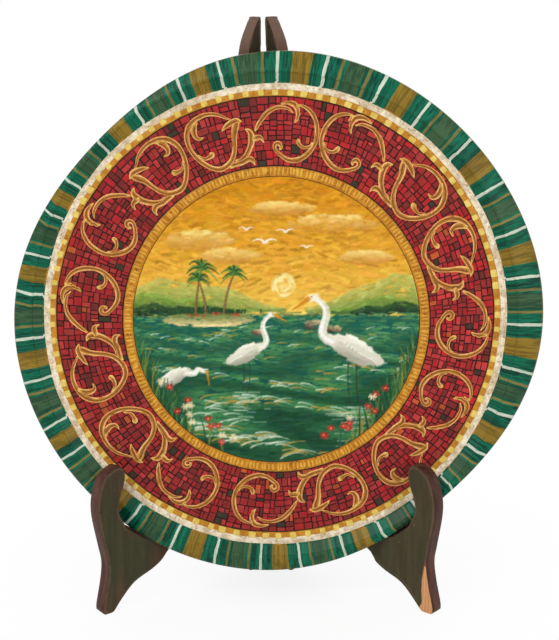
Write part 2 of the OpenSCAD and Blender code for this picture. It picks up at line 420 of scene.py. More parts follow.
# %% Where the cream lines fall
LINES = [2.1, 12.6, 23.6, 33.8, 44.2, 53.7, 63.8, 73.9, 84.5, 93.6, 104.4, 114.7, 125.8, 136.2, 146.5,
         154.6, 165.6, 175.5, 186.0, 195.3, 205.4, 214.1, 225.6, 237.0, 248.5, 258.2, 271.3, 282.0,
         295.2, 306.3, 318.4, 329.8, 340.8, 351.0]
turns = np.array([LINES[-1] - 360] + LINES + [LINES[0] + 360])


def laps(angle):
    """How many lines have been passed, going clockwise from the right."""
    return float(np.interp(360 - math.degrees(angle), turns, np.arange(-1, len(LINES) + 1)))


print("lines:", len(LINES), "widest gap", round(float(np.diff(turns).max()), 1), "degrees")

# %% Rim paint
rim_paint, tree, shader = new_material("striped rim paint", roughness=0.32)
maps = put(tree, "ShaderNodeUVMap", uv_map="laps").outputs[0]
passed, outward = put(tree, "ShaderNodeSeparateXYZ", {0: maps}).outputs[:2]
place = objects_place(tree)
shaky = scaled(tree, noise(tree, place, 130.0, 2.0), 0.03, -0.015)
shaky = plus(tree, shaky, scaled(tree, noise(tree, place, 18.0, 1.0), 0.06, -0.03))
number = calc(tree, "FLOOR", plus(tree, passed, 0.5))
slant = put(tree, "ShaderNodeTexWhiteNoise", {"W": number}, noise_dimensions="1D").outputs[0]
slant = minus(tree, slant, 0.5)
slant = times(tree, slant, scaled(tree, outward, 0.22, -0.11))
lap = plus(tree, plus(tree, passed, shaky), slant)
odd = step(tree, calc(tree, "FRACT", scaled(tree, passed, 0.5, 17.0)), 0.499, 0.501)
middle = calc(tree, "ABSOLUTE", minus(tree, calc(tree, "FRACT", plus(tree, lap, 9.0)), 0.5))
strokes = use(tree, streaks, {"Vector": stretch(tree, maps, (52, 4.4, 1)), "Scale": 0.6})
tone = strokes["Tone"]
patchy = step(tree, noise(tree, stretch(tree, maps, (5, 2.4, 1)), 1.3, 3.0), 0.36, 0.64)
green = mix(tree, step(tree, tone, 0.12, 0.88), paint(3, 52, 40), paint(4, 112, 84))
green = tint(tree, green, patchy, 0.45, paint(0, 86, 54))
olive = mix(tree, step(tree, tone, 0.1, 0.9), paint(108, 87, 27), paint(146, 118, 38))
warm = times(tree, step(tree, outward, 0.36, 0.2), patchy)
olive = mix(tree, warm, olive, paint(184, 124, 44))
grey = mix(tree, step(tree, tone, 0.1, 0.9), paint(36, 68, 45), paint(62, 94, 62))
wide = step(tree, middle, 0.215, 0.195)
design_a = mix(tree, wide, green, olive)
thin = times(tree, step(tree, middle, 0.272, 0.252), step(tree, middle, 0.198, 0.218))
block = step(tree, middle, 0.185, 0.125)
design_b = mix(tree, block, green, grey)
faint = times(tree, thin, scaled(tree, tone, 0.5, 0.45))
design_b = mix(tree, faint, design_b, paint(140, 122, 58))
colour = mix(tree, odd, design_a, design_b)
swell = scaled(tree, noise(tree, place, 60.0, 2.0), 0.03, 0.4545)
line = step(tree, minus(tree, middle, swell), -0.006, 0.006)
line = times(tree, line, scaled(tree, tone, 0.3, 0.6))
colour = mix(tree, line, colour, paint(228, 234, 214))
rub = scaled(tree, noise(tree, place, 90.0, 3.0), 0.05, outward)
colour = tint(tree, colour, step(tree, rub, 0.925, 0.955), 0.8, paint(112, 104, 56))
relief = plus(tree, strokes["Height"], times(tree, line, 0.6))
dress(tree, shader, colour, scaled(tree, strokes["Height"], 0.2, 0.2), relief, 0.0003, 0.6)

# %% Rim band
profile = [(178.6, 0.1), (179.6, 0.1), (180.7, 0.1), (182.75, 0.1), (184.51, 0.1), (185.4, 0.25),
           (186.2, 0.35), (187, -0.3), (187.8, -0.35), (188.7, -0.1), (190, 0.05), (192.5, 0.1),
           (196, 0.1), (198.3, 0.08), (199.2, -0.15), (199.75, -0.7), (200, -1.6), (200, -2.6),
           (199.4, -2.6), (187.5, -1.0), (178.6, -0.8)]
band("plate_rim_paint", on_face(profile), 17, rim_paint, laps=laps)

# %% [markdown]
# Inside the green comes a narrow ring of off-white paint, flecked brown and grey where the brush
# skipped and where dirt has settled, then a gilded ring. The gilding is an ochre band with a row
# of pale yellow dabs on it, each one a single touch of the brush.

# %% Cream, ochre and dark line paints
def flat_paint(name, low, high, spatter, amount):
    """A streaky paint with flecks of another colour in it."""
    material, tree, shader = new_material(name)
    place = objects_place(tree)
    brushed = use(tree, streaks, {"Vector": place, "Scale": 240.0})
    spots = use(tree, flecks, {"Vector": place, "Scale": 420.0, "Amount": amount})
    colour = mix(tree, brushed["Tone"], paint(*low), paint(*high))
    colour = tint(tree, colour, spots["Mask"], 0.75, paint(*spatter))
    dress(tree, shader, colour, scaled(tree, brushed["Height"], 0.2, 0.3), brushed["Height"], 0.0003)
    return material


cream_paint = flat_paint("cream paint", (196, 172, 138), (246, 234, 208), (150, 118, 84), 0.34)
ochre_paint = flat_paint("ochre gilding", (172, 112, 32), (202, 142, 46), (112, 66, 28), 0.3)
pale_gold = flat_paint("pale gold dabs", (212, 180, 80), (236, 208, 114), (186, 134, 54), 0.25)
dark_line = flat_paint("dark brown line", (34, 22, 14), (66, 40, 22), (110, 66, 30), 0.2)


def ring_section(inner, outer, lift, lip=0.3):
    """A thin layer with rounded lips, sunk into what lies below it."""
    middle = (inner + outer) / 2
    return on_face([(inner, lift * lip), (inner + 0.3, lift), (middle, lift * 1.15), (outer - 0.3, lift),
                    (outer, lift * 0.3), (outer, -0.5), (inner, -0.5)])


band("cream_ring", ring_section(174.2, 179.3, 0.22), 4, cream_paint)
band("gold_ring", ring_section(169.4, 174.5, 0.16), 4, ochre_paint)
band("outer_dark_line", ring_section(168.7, 169.6, 0.26), 4, dark_line)

# %% [markdown]
# A row of dabs repeats round a circle, which is what Geometry Nodes are good at. One tree sets
# points round a ring, gives each a little random turn and size from a fixed seed, puts a dab on
# it, and lays the lot on the leaning plate. The same tree, with other numbers, makes the fine
# strokes of the inner ring. Its result is turned into a plain mesh straight away.

# %% One touch of the brush
def touch_mesh(length, width, thick):
    """A rounded, domed dab lying along X, in millimetres."""
    ring = []
    for k in range(12):
        angle = 2 * math.pi * (k + 0.5) / 12
        across = [math.copysign(abs(v) ** 0.38, v) for v in (math.cos(angle), math.sin(angle))]
        ring.append((across[0] * length / 2, across[1] * width / 2))
    points = [(x, y, -0.25) for x, y in ring] + [(x, y, thick * 0.4) for x, y in ring]
    points += [(x * 0.75, y * 0.75, thick) for x, y in ring] + [(0, 0, thick * 1.15)]
    faces = [tuple(range(11, -1, -1))]
    for k in range(12):
        n = (k + 1) % 12
        faces += [(k, n, 12 + n, 12 + k), (12 + k, 12 + n, 24 + n, 24 + k), (24 + k, 24 + n, 36)]
    mesh = bpy.data.meshes.new("touch")
    mesh.from_pydata([tuple(v * 0.001 for v in p) for p in points], [], faces)
    return mesh


# %% Geometry Nodes: touches round a ring
def geometry_tree(name, inputs):
    """An empty Geometry Nodes tree with named inputs, and those inputs as sockets."""
    tree = bpy.data.node_groups.new(name, "GeometryNodeTree")
    for label, kind in inputs.items():
        tree.interface.new_socket(label, in_out="INPUT", socket_type="NodeSocket" + kind)
    tree.interface.new_socket("Geometry", in_out="OUTPUT", socket_type="NodeSocketGeometry")
    return tree, put(tree, "NodeGroupInput").outputs


def close_tree(tree, shape, material):
    """End a tree with real geometry and its paint, because the export drops instances."""
    solid = put(tree, "GeometryNodeRealizeInstances", {0: shape}).outputs[0]
    ready = put(tree, "GeometryNodeSetMaterial", {"Geometry": solid, "Material": material})
    put(tree, "NodeGroupOutput", {0: ready.outputs[0]})


def ring_tree():
    tree, given = geometry_tree("touches round a ring", {
        "Touch": "Object", "Count": "Int", "Radius": "Float", "Lift": "Float", "Drift": "Vector",
        "Unsteady": "Float", "Uneven": "Float", "Seed": "Int", "Paint": "Material"})
    index = put(tree, "GeometryNodeInputIndex").outputs[0]
    share = calc(tree, "DIVIDE", 2 * math.pi, given["Count"])

    def chance(low, high, more):
        seed = plus(tree, given["Seed"], more)
        return put(tree, "FunctionNodeRandomValue", {2: low, 3: high, "ID": index, "Seed": seed}).outputs[1]

    slip = times(tree, chance(-0.5, 0.5, 0), times(tree, share, given["Unsteady"]))
    angle = scaled(tree, index, share, slip)
    spot = put(tree, "ShaderNodeCombineXYZ", {
        0: times(tree, calc(tree, "COSINE", angle), given["Radius"]),
        1: times(tree, calc(tree, "SINE", angle), given["Radius"]), 2: given["Lift"]}).outputs[0]
    spot = put(tree, "ShaderNodeVectorMath", {0: spot, 1: given["Drift"]}, operation="ADD").outputs[0]
    row = put(tree, "GeometryNodePoints", {"Count": given["Count"], "Position": spot}).outputs[0]
    lean = scaled(tree, chance(-0.25, 0.25, 3), given["Unsteady"], angle)
    turn = put(tree, "FunctionNodeEulerToRotation", {
        0: put(tree, "ShaderNodeCombineXYZ", {2: lean}).outputs[0]}).outputs[0]
    longer = scaled(tree, chance(-0.5, 0.5, 5), times(tree, given["Uneven"], 0.5), 1.0)
    wider = scaled(tree, chance(-0.5, 0.5, 7), given["Uneven"], 1.0)
    size = put(tree, "ShaderNodeCombineXYZ", {0: longer, 1: wider, 2: 1.0}).outputs[0]
    shape = put(tree, "GeometryNodeObjectInfo", {"Object": given["Touch"]}).outputs["Geometry"]
    laid = put(tree, "GeometryNodeInstanceOnPoints",
               {"Points": row, "Instance": shape, "Rotation": turn, "Scale": size}).outputs[0]
    laid = put(tree, "GeometryNodeTransform", {
        "Geometry": laid, "Translation": tuple(CENTRE * 0.001), "Rotation": (math.pi / 2 - LEAN, 0, 0)})
    close_tree(tree, laid.outputs[0], given["Paint"])
    return tree


def from_tree(name, tree, numbers, start=None):
    """Run a Geometry Nodes tree and keep its result as a plain mesh."""
    host = bpy.data.objects.new(name + "_host", start or bpy.data.meshes.new(name + "_start"))
    bpy.context.collection.objects.link(host)
    modifier = host.modifiers.new("build", "NODES")
    modifier.node_group = tree
    for item in tree.interface.items_tree:
        if item.item_type == "SOCKET" and item.in_out == "INPUT" and item.name in numbers:
            modifier[item.identifier] = numbers[item.name]
    bpy.context.view_layer.update()
    ready = host.evaluated_get(bpy.context.evaluated_depsgraph_get())
    mesh = bpy.data.meshes.new_from_object(ready)
    host.modifiers.remove(modifier)
    bpy.data.objects.remove(host)
    mesh.name = name
    return mesh


def lay_flat(mesh):
    """The texture map of a piece that lies on the plate: flat from the front, its underside
    tucked into a corner."""
    count = len(mesh.loops)
    corner = np.empty(count, np.int32)
    mesh.loops.foreach_get("vertex_index", corner)
    place = np.empty(len(mesh.vertices) * 3)
    mesh.vertices.foreach_get("co", place)
    right, up = (side[corner] for side in from_plate(place.reshape(-1, 3))[:2])
    normal = np.empty(len(mesh.polygons) * 3)
    mesh.polygons.foreach_get("normal", normal)
    size = np.empty(len(mesh.polygons), np.int32)
    mesh.polygons.foreach_get("loop_total", size)
    under = np.repeat(normal.reshape(-1, 3) @ OUT < -0.3, size)
    right = np.where(under, MAP_CORNER + right * 0.04, right)
    places = flat_map(right, np.where(under, MAP_CORNER + up * 0.04, up))
    layer = mesh.uv_layers.get("OFBake") or mesh.uv_layers.new(name="OFBake")
    layer.data.foreach_set("uv", places.astype(np.float32).ravel())


# %% Gold dabs and the fine strokes of the inner ring
touches_tree = ring_tree()


def ring_of_touches(name, length, width, thick, numbers):
    """Lay one touch of the brush many times round the plate."""
    touch = bpy.data.objects.new("touch", touch_mesh(length, width, thick))
    bpy.context.collection.objects.link(touch)
    mesh = from_tree(name, touches_tree, {"Touch": touch, **numbers})
    bpy.data.objects.remove(touch)
    lay_flat(mesh)
    return keep_mesh(mesh, name)


ring_of_touches("gold_dabs", 4.6, 5.0, 0.12, {
    "Count": 97, "Radius": 0.17195, "Lift": 0.0002, "Unsteady": 0.22, "Uneven": 0.4, "Seed": 4,
    "Paint": pale_gold})
inner_ochre = flat_paint("inner ring ochre", (168, 104, 26), (206, 138, 38), (104, 60, 26), 0.34)
fine_gold = flat_paint("fine gold strokes", (202, 142, 44), (226, 176, 70), (176, 116, 44), 0.3)
band("inner_ring", ring_section(110.7, 118.4, 0.26, lip=0.9), 4, inner_ochre)
band("picture_dark_line", ring_section(110.5, 111.2, 0.33, lip=0.8), 4, dark_line)
band("inner_dark_line", ring_section(118.1, 118.9, 0.24), 4, dark_line)
ring_of_touches("fine_strokes", 5.4, 1.5, 0.16, {
    "Count": 236, "Radius": 0.1149, "Lift": 0.00028, "Drift": (DRIFT[0] * 0.001, DRIFT[1] * 0.001, 0),
    "Unsteady": 0.5, "Uneven": 0.7, "Seed": 11, "Paint": fine_gold})

# %% [markdown]
# The crimson ring imitates a mosaic. A dark maroon ground shows as the joints between the tiles.
# Python cuts the ring into rectangles, the way a mason breaks up a strip: cut the longer way,
# again and again, until each piece is tile sized. Every tile keeps a colour of its own, mostly
# crimson, with a few orange, dark and near-black ones. A second Geometry Nodes tree raises each
# flat rectangle into a tile with a slightly smaller top.

# %% Setting out the mosaic
dice = random.Random(27)
MID = 144.0
AROUND = 2 * math.pi * MID
TILES_IN, TILES_OUT = 118.9, 168.9
STRIPS = 38


def cut(cell, tiles):
    """Cut a cell (start, end, inner, outer) until it is tile sized."""
    start, end, inner, outer = cell
    wide, deep = end - start, outer - inner
    if wide * deep < dice.uniform(26, 50) and max(wide, deep) < 10:
        tiles.append(cell)
        return
    share = dice.uniform(0.36, 0.64)
    if wide > deep * dice.uniform(0.75, 1.3):
        middle = start + wide * share
        cut((start, middle, inner, outer), tiles)
        cut((middle, end, inner, outer), tiles)
    else:
        middle = inner + deep * share
        cut((start, end, inner, middle), tiles)
        cut((start, end, middle, outer), tiles)


tiles = []
starts = [k * AROUND / STRIPS + dice.uniform(-4, 4) for k in range(STRIPS)]
for here, there in zip(starts, starts[1:] + [starts[0] + AROUND]):
    cut((here, there, TILES_IN, TILES_OUT), tiles)
print("tiles:", len(tiles))


# %% Tile corners and colours
def tile_colour(angle):
    """Mostly crimson; painted shade makes the tiles darker towards the lower left."""
    # brown is a painted shade: 1 at the lower left of the ring, 0 at the upper right, darkening the tile
    # colour there
    brown = 0.5 - 0.5 * math.cos(angle - math.radians(20))
    shade = dice.uniform(0.9, 1.12) - 0.08 * brown
    pick = dice.random()
    if pick < 0.022:
        return paint(46, 46, 40)
    if pick < 0.055:
        return paint(206 * shade, 92 * shade, 48 * shade)
    if pick < 0.2:
        return paint(130 * shade, 30 * shade, 40 * shade)
    if pick < 0.42:
        return paint(192 * shade, 52 * shade, 58 * shade)
    if pick < 0.7:
        return paint(186 * shade, 20 * shade, 42 * shade)
    return paint(176 * shade, 32 * shade, 46 * shade)


def tile_sheet():
    points, faces, colours = [], [], []
    for start, end, inner, outer in tiles:
        gap = dice.uniform(0.28, 0.44)
        shaken = [dice.uniform(-0.28, 0.28) for _ in range(8)]
        corners = [(start + gap, inner + gap), (end - gap, inner + gap), (end - gap, outer - gap),
                   (start + gap, outer - gap)]
        for k, (along, radius) in enumerate(corners):
            radius = min(max(radius + shaken[k], TILES_IN + 0.3), TILES_OUT - 0.3)
            angle = (along + shaken[k + 4]) / MID
            right, up = polar(np.float64(radius), angle)
            points.append(tuple(on_plate(right, up, 0.04)))
        faces.append(tuple(range(len(points) - 1, len(points) - 5, -1)))
        colours.append(tile_colour((start + end) / 2 / MID))
    mesh = bpy.data.meshes.new("tile_sheet")
    mesh.from_pydata(points, [], faces)
    made = mesh.attributes.new("glaze", "FLOAT_COLOR", "FACE")
    made.data.foreach_set("color", np.array(colours, np.float32).ravel())
    return mesh


# %% Geometry Nodes: raise flat tiles
tiles_tree, given = geometry_tree("raised tiles", {
    "Sheet": "Geometry", "Thickness": "Float", "Unevenness": "Float", "Top": "Float", "Seed": "Int",
    "Paint": "Material"})
extra = put(tiles_tree, "FunctionNodeRandomValue", {2: 0.0, 3: 1.0, "Seed": given["Seed"]}).outputs[1]
height = scaled(tiles_tree, extra, given["Unevenness"], given["Thickness"])
raised = put(tiles_tree, "GeometryNodeExtrudeMesh",
             {"Mesh": given["Sheet"], "Offset Scale": height, "Individual": True}, mode="FACES").outputs
topped = put(tiles_tree, "GeometryNodeScaleElements",
             {"Geometry": raised["Mesh"], "Selection": raised["Top"], "Scale": given["Top"]}, domain="FACE")
under = put(tiles_tree, "GeometryNodeFlipFaces", {0: given["Sheet"]})
joined = put(tiles_tree, "GeometryNodeJoinGeometry")
tiles_tree.links.new(topped.outputs[0], joined.inputs[0])
tiles_tree.links.new(under.outputs[0], joined.inputs[0])
welded = put(tiles_tree, "GeometryNodeMergeByDistance", {"Geometry": joined.outputs[0], "Distance": 1e-6})
close_tree(tiles_tree, welded.outputs[0], given["Paint"])

# %% Tile glaze
glaze, tree, shader = new_material("mosaic glaze", roughness=0.3)
own = painted(tree, "glaze", "Color")
place = objects_place(tree)
cloudy = use(tree, streaks, {"Vector": place, "Scale": 260.0})
greys = mix(tree, cloudy["Tone"], paint(96, 96, 96), paint(178, 178, 178))
colour = mix(tree, 0.46, own, greys, "OVERLAY")
specks = use(tree, flecks, {"Vector": place, "Scale": 330.0, "Amount": 0.22})
colour = tint(tree, colour, specks["Mask"], 0.5, paint(72, 20, 28))
colour = mix(tree, 0.13, colour, paint(118, 92, 46))
dress(tree, shader, colour, scaled(tree, cloudy["Height"], 0.3, 0.18), cloudy["Height"], 0.0003)

# %% Joints and tiles
joints = flat_paint("maroon joints", (30, 10, 12), (58, 18, 22), (18, 12, 10), 0.3)
band("mosaic_ground", ring_section(118.3, 169.5, 0.05), 4, joints)
mesh = from_tree("mosaic_tiles", tiles_tree, {
    "Thickness": 0.00012, "Unevenness": 0.00012, "Top": 0.95, "Seed": 5, "Paint": glaze}, tile_sheet())
lay_flat(mesh)
keep_mesh(mesh, "mosaic_tiles", smooth=False)

# %% [markdown]
# Gilded acanthus scrolls run round the crimson ring. One pair of scrolls is drawn as brush
# strokes, each a list of (along, out from the ring's middle, stroke width) points in
# millimetres, and the pair is then laid eight times round the ring, every second one mirrored.
# A stroke becomes a low rounded ridge of paint, so it catches the light along one side.

# %% The strokes of one pair of scrolls
SCROLL = {
    "hoop": [(21, 20, 1.2), (16, 19.6, 2.6), (10.5, 16.6, 3.4), (6, 11, 3.8), (3.2, 3.5, 4.0), (2.7, -4, 4.0),
             (4.8, -10, 4.2), (9, -15.3, 4.6), (15, -19.2, 4.6), (21.3, -20.8, 4.2), (27.6, -20.2, 3.8),
             (33.3, -17.5, 3.4), (37.8, -14, 3.4), (38.8, -10.9, 3.8), (36.6, -8.9, 4.0), (33.8, -9.6, 3.8),
             (32.9, -12.2, 2.8), (34.6, -13.4, 1.2)],
    "inner leaf": [(5.2, -5, 1.2), (6.8, -8.4, 2.4), (11, -10.1, 2.6), (15.3, -9.2, 3.0), (17.6, -6.4, 4.2),
                   (17.8, -4.2, 1.6)],
    "top leaf": [(34, 20.2, 1.2), (28.5, 21.4, 3.4), (24, 20.4, 4.8), (21.6, 17.6, 4.4), (21.2, 15.4, 3.2),
                 (20.6, 13.6, 3.8), (21.2, 11.4, 2.4), (21.3, 9.6, 2.8), (23, 7.2, 0.8)],
    "leaf spur": [(20.8, 20.6, 2.6), (20, 17.6, 2.0), (18.8, 14.8, 0.6)],
    "shoulder": [(24, 14.3, 0.8), (29, 17.4, 2.6), (37, 17.5, 3.2), (44, 14, 4.0), (50, 7.9, 3.6),
                 (53.6, 3.3, 2.6), (55.2, 1.0, 1.2)],
    "fork": [(77, -19.4, 3.8), (70, -18.4, 4.4), (64.3, -14.5, 4.8), (60, -8.8, 5.6), (58.3, -3, 6.2),
             (59.3, 0.8, 4.4), (62.9, 3.1, 0.7)],
    "fork leaf": [(58.8, -5, 3.4), (54.6, -4.2, 4.6), (51, -4.5, 3.6), (48.7, -8.3, 0.7)],
    "prong": [(67, 11.6, 1.4), (69.6, 7.6, 6.0), (72.8, 0.9, 5.0), (74.6, -6.8, 4.2), (77, -12.6, 4.4),
              (81.4, -17.5, 4.6), (88, -20.3, 4.6), (94.8, -20.6, 4.4), (101.4, -17.4, 4.4),
              (107, -11.6, 4.4), (110.4, -4.9, 4.2), (111.6, 1.9, 4.0), (110.6, 8.7, 4.4),
              (107.2, 14.5, 4.8), (102.2, 18.4, 4.6), (95.3, 20.3, 4.0), (88.4, 20.2, 3.4),
              (81.8, 17.9, 2.8), (77, 14.5, 2.0), (72.6, 11.6, 0.8)],
    "prong leaf": [(64.4, 9.4, 0.8), (68.4, 11, 4.2), (73, 10.2, 4.8), (78, 8.2, 3.6), (81.8, 5.8, 0.7)],
    "drop leaf": [(98, 18.6, 2.6), (101.6, 14.4, 5.0), (102.8, 9.6, 4.4), (101.2, 6, 3.0), (97, 5.8, 0.7)],
    "low leaf": [(108.2, -4.6, 1.2), (104.2, -9, 2.4), (99.4, -9.4, 3.4), (96.2, -8.2, 4.8), (94.8, -7, 1.6)],
    "tail": [(84, -20.6, 3.8), (72, -20, 4.4), (64.6, -18.4, 4.8), (60.4, -19.6, 4.4), (58.6, -23.6, 0.8)],
}
PAIRS = [(284.3, 327.6, 1.5), (372.9, 329.3, 0.8), (16.6, 57.5, 0.0), (104.4, 61.8, -1.2),
         (108.8, 151.0, -0.4), (196.8, 154.4, 0.4), (200.7, 242.3, 0.8), (284.2, 243.1, -0.4)]


def ridge(stroke, spot, lift, thick):
    """Sweep a low rounded ridge of paint along a stroke; gives points, faces and their map."""
    path = np.array(stroke, float)
    ends = np.vstack((2 * path[0] - path[1], path, 2 * path[-1] - path[-2]))
    smooth = []
    for k in range(len(path) - 1):
        a, b, c, d = ends[k:k + 4]
        for t in np.linspace(0, 1, max(3, int(np.hypot(*(c - b)[:2]) / 1.1) + 1), endpoint=False):
            smooth.append(0.5 * (2 * b + (c - a) * t + (2 * a - 5 * b + 4 * c - d) * t ** 2
                                 + (3 * b - a - 3 * c + d) * t ** 3))
    line = np.vstack((smooth, path[-1]))
    ahead = np.gradient(line[:, :2], axis=0)
    ahead /= np.linalg.norm(ahead, axis=1)[:, None]
    aside = np.stack((-ahead[:, 1], ahead[:, 0]), axis=1)
    far = np.concatenate(([0], np.cumsum(np.linalg.norm(np.diff(line[:, :2], axis=0), axis=1))))
    profile = [(-1, -0.8), (-0.93, 0.5), (-0.6, 0.95), (0, 1), (0.6, 0.95), (0.93, 0.5), (1, -0.8)]
    points, maps, faces = [], [], []
    for i in range(len(line)):
        half = max(line[i, 2] * 0.99, 0.5) / 2
        for t, h in profile:
            along, out = line[i, :2] + aside[i] * t * half
            points.append(spot(along, out, lift + thick * h * min(1, half)))
            maps.append((far[i], t, max(0, 1 - min(far[i], far[-1] - far[i]) / 5.5)))
    n = len(profile)
    for i in range(len(line) - 1):
        for j in range(n):
            k = (j + 1) % n
            faces.append((i * n + j, (i + 1) * n + j, (i + 1) * n + k, i * n + k))
    faces += [tuple(range(n - 1, -1, -1)), tuple(range(len(points) - n, len(points)))]
    return points, faces, maps


# %% Laying the pairs round the ring
PAIR_LENGTH = 113
PAIR_START = 0.7


def all_scrolls():
    """All strokes as one mesh, with the length, side and closeness to a tip of each point."""
    points, faces, along, across, tips = [], [], [], [], []
    for pair, (first, last, outward) in enumerate(PAIRS):
        mirrored = last < first
        for number, stroke in enumerate(SCROLL.values()):
            nudge = [dice.uniform(-0.5, 0.5), dice.uniform(-0.4, 0.4)]

            def spot(run, out, height):
                angle = -math.radians(first + (last - first) * (run - PAIR_START) / PAIR_LENGTH)
                right, up = polar(np.float64(MID + outward + out * 0.99 + nudge[1]), angle + nudge[0] / MID)
                return tuple(on_plate(right, up, height))

            made, quads, maps = ridge(stroke, spot, 0.24 + 0.03 * (number % 5), 0.2)
            start = len(points)
            points += made
            faces += [tuple(start + v for v in (quad if mirrored else quad[::-1])) for quad in quads]
            along += [m[0] + 37 * number + 211 * pair for m in maps]
            across += [m[1] for m in maps]
            tips += [m[2] for m in maps]
    return points, faces, along, across, tips


# %% Gilding of the scrolls
gilding, tree, shader = new_material("scroll gilding", gloss=0.2, roughness=0.34)
run = painted(tree, "run")
side = painted(tree, "side")
tip = painted(tree, "tip")
brush = put(tree, "ShaderNodeCombineXYZ", {0: times(tree, run, 0.16), 1: times(tree, side, 3.2)}).outputs[0]
hair = use(tree, streaks, {"Vector": brush, "Scale": 1.6})
wander = scaled(tree, noise(tree, brush, 0.9, 2.0), 0.7, -0.35)
across = plus(tree, side, wander)
colour = mix(tree, hair["Tone"], paint(136, 82, 22), paint(192, 128, 40))
deep = times(tree, step(tree, across, 0.12, -0.1), step(tree, across, -0.62, -0.4))
colour = tint(tree, colour, deep, 0.75, paint(112, 64, 26))
broken = step(tree, noise(tree, brush, 0.7, 2.0), 0.4, 0.54)
bright = times(tree, step(tree, side, 0.36, 0.52), broken)
colour = tint(tree, colour, bright, 0.9, paint(246, 190, 118))
glint = times(tree, step(tree, side, -0.42, -0.56), step(tree, hair["Tone"], 0.1, 0.5))
colour = tint(tree, colour, glint, 0.85, paint(236, 166, 92))
thin = step(tree, noise(tree, brush, 1.9, 3.0), 0.6, 0.74)
colour = tint(tree, colour, thin, 0.5, paint(150, 44, 36))
lit = times(tree, step(tree, tip, 0.15, 0.9), step(tree, hair["Tone"], 0.1, 0.6))
colour = tint(tree, colour, lit, 0.85, paint(246, 200, 100))
dress(tree, shader, colour, scaled(tree, hair["Height"], 0.25, 0.2), hair["Height"], 0.0003, 0.6)

points, faces, along, across, tips = all_scrolls()
scrolls = finish_piece("acanthus_scrolls", points, faces, gilding, weld=0,
                       values={"run": ("FLOAT", along), "side": ("FLOAT", across), "tip": ("FLOAT", tips)})
lay_flat(scrolls.data)

# %% [markdown]
# The middle of the plate holds a small landscape of a quiet bay: egrets wading in green water, a
# palm island, low hills and an amber evening sky. It is painted here the way it would be on
# wood, stroke by stroke, on a canvas of 0.7 mm cells. Each stroke leaves colour and a little
# relief. The canvas then becomes a fine mesh: the colours are kept at its points, and the relief
# lifts them.

# %% The canvas and one stroke
CELL = 0.7
HALF = 162
axis = np.arange(-HALF, HALF + 1) * CELL
relief = np.zeros((len(axis), len(axis)))
level = np.clip(axis / 110, -1, 1)[:, None]
under_sky = np.array((236, 188, 76)) * (1 - level) + np.array((208, 140, 24)) * level
under_water = np.array((20, 96, 78)) * (1 + level) + np.array((8, 66, 56)) * -level
rows = np.where(axis[:, None] > 5, under_sky, under_water)
canvas = np.repeat(rows[:, None, :], len(axis), axis=1)
brush_dice = random.Random(61)


def stroke(x, y, turn, length, width, colour, cover=0.85):
    """One straight stroke at (x, y), turned in degrees, with the marks of the bristles."""
    reach = length / 2 + width
    i0, i1 = np.searchsorted(axis, (y - reach, y + reach))
    j0, j1 = np.searchsorted(axis, (x - reach, x + reach))
    if i1 <= i0 or j1 <= j0:
        return
    dx, dy = axis[None, j0:j1] - x, axis[i0:i1, None] - y
    c, s = math.cos(math.radians(turn)), math.sin(math.radians(turn))
    along, aside = dx * c + dy * s, dy * c - dx * s
    ends = np.clip((length / 2 - np.abs(along)) / max(width * 0.5, 0.7) + 0.5, 0, 1)
    sides = np.clip((width / 2 - np.abs(aside)) / 0.6 + 0.5, 0, 1)
    marks = 0.8 + 0.2 * np.sin(aside * 4.1 + brush_dice.uniform(0, 6.28))
    mask = ends * sides * marks * cover
    here = (slice(i0, i1), slice(j0, j1))
    canvas[here] = canvas[here] * (1 - mask[..., None]) + np.array(colour) * mask[..., None]
    relief[here] = relief[here] * (1 - mask) + mask * (0.6 + 0.4 * marks)


def in_disc():
    """A chance place in a disc: its direction, and its distance as a share of the radius."""
    return brush_dice.uniform(0, 6.28), math.sqrt(brush_dice.random())


def between(low, high, share):
    return [a + (b - a) * min(1, max(0, share)) for a, b in zip(low, high)]


def vary(colour, amount):
    """The same colour from a less well mixed palette."""
    lift = brush_dice.gauss(0, amount)
    return [min(250, max(4, c + lift + brush_dice.gauss(0, amount * 0.35))) for c in colour]


def sweep(points, width, colour, cover=0.9, tip=0.3, amount=6):
    """A curved stroke made of short ones, tapering to its tip."""
    path = [Vector(p) for p in points]
    parts = 10
    curve = []
    for k in range(parts + 1):
        t = k / parts
        row = path
        while len(row) > 1:
            row = [a.lerp(b, t) for a, b in zip(row, row[1:])]
        curve.append(row[0])
    for k, (a, b) in enumerate(zip(curve, curve[1:])):
        turn = math.degrees(math.atan2(b.y - a.y, b.x - a.x))
        wide = width * (1 - (1 - tip) * k / parts)
        middle = (a + b) / 2
        stroke(middle.x, middle.y, turn, (b - a).length + wide * 0.6, wide, vary(colour, amount), cover)


# %% Sky
for k in range(3400):
    x, y = brush_dice.uniform(-114, 114), brush_dice.uniform(4, 114)
    high = (y - 12) / 95
    colour = between((242, 204, 88), (216, 146, 14), max(high, 0) ** 0.7)
    if brush_dice.random() < 0.22 * (0.4 + high):
        colour = between(colour, (146, 92, 18), 0.45)
    turn = 12 * math.sin(x / 26 + y / 17) + brush_dice.uniform(-22, 22)
    stroke(x, y, turn, brush_dice.uniform(5, 12), brush_dice.uniform(1.2, 3), vary(colour, 13), 0.7)
CLOUDS = [(-58, 62, 26, 8), (-34, 50, 22, 6), (44, 74, 34, 7), (70, 48, 20, 5), (6, 86, 24, 5)]
for centre_x, centre_y, wide, deep in CLOUDS:
    for k in range(150):
        a, r = in_disc()
        x, y = centre_x + wide * r * math.cos(a), centre_y + deep * r * math.sin(a)
        light = 0.5 + 0.5 * math.sin(a) * r
        colour = between((200, 138, 44), (250, 224, 136), light)
        stroke(x, y, brush_dice.uniform(-16, 16), brush_dice.uniform(4, 9), brush_dice.uniform(1.4, 2.8),
               vary(colour, 9), 0.6)
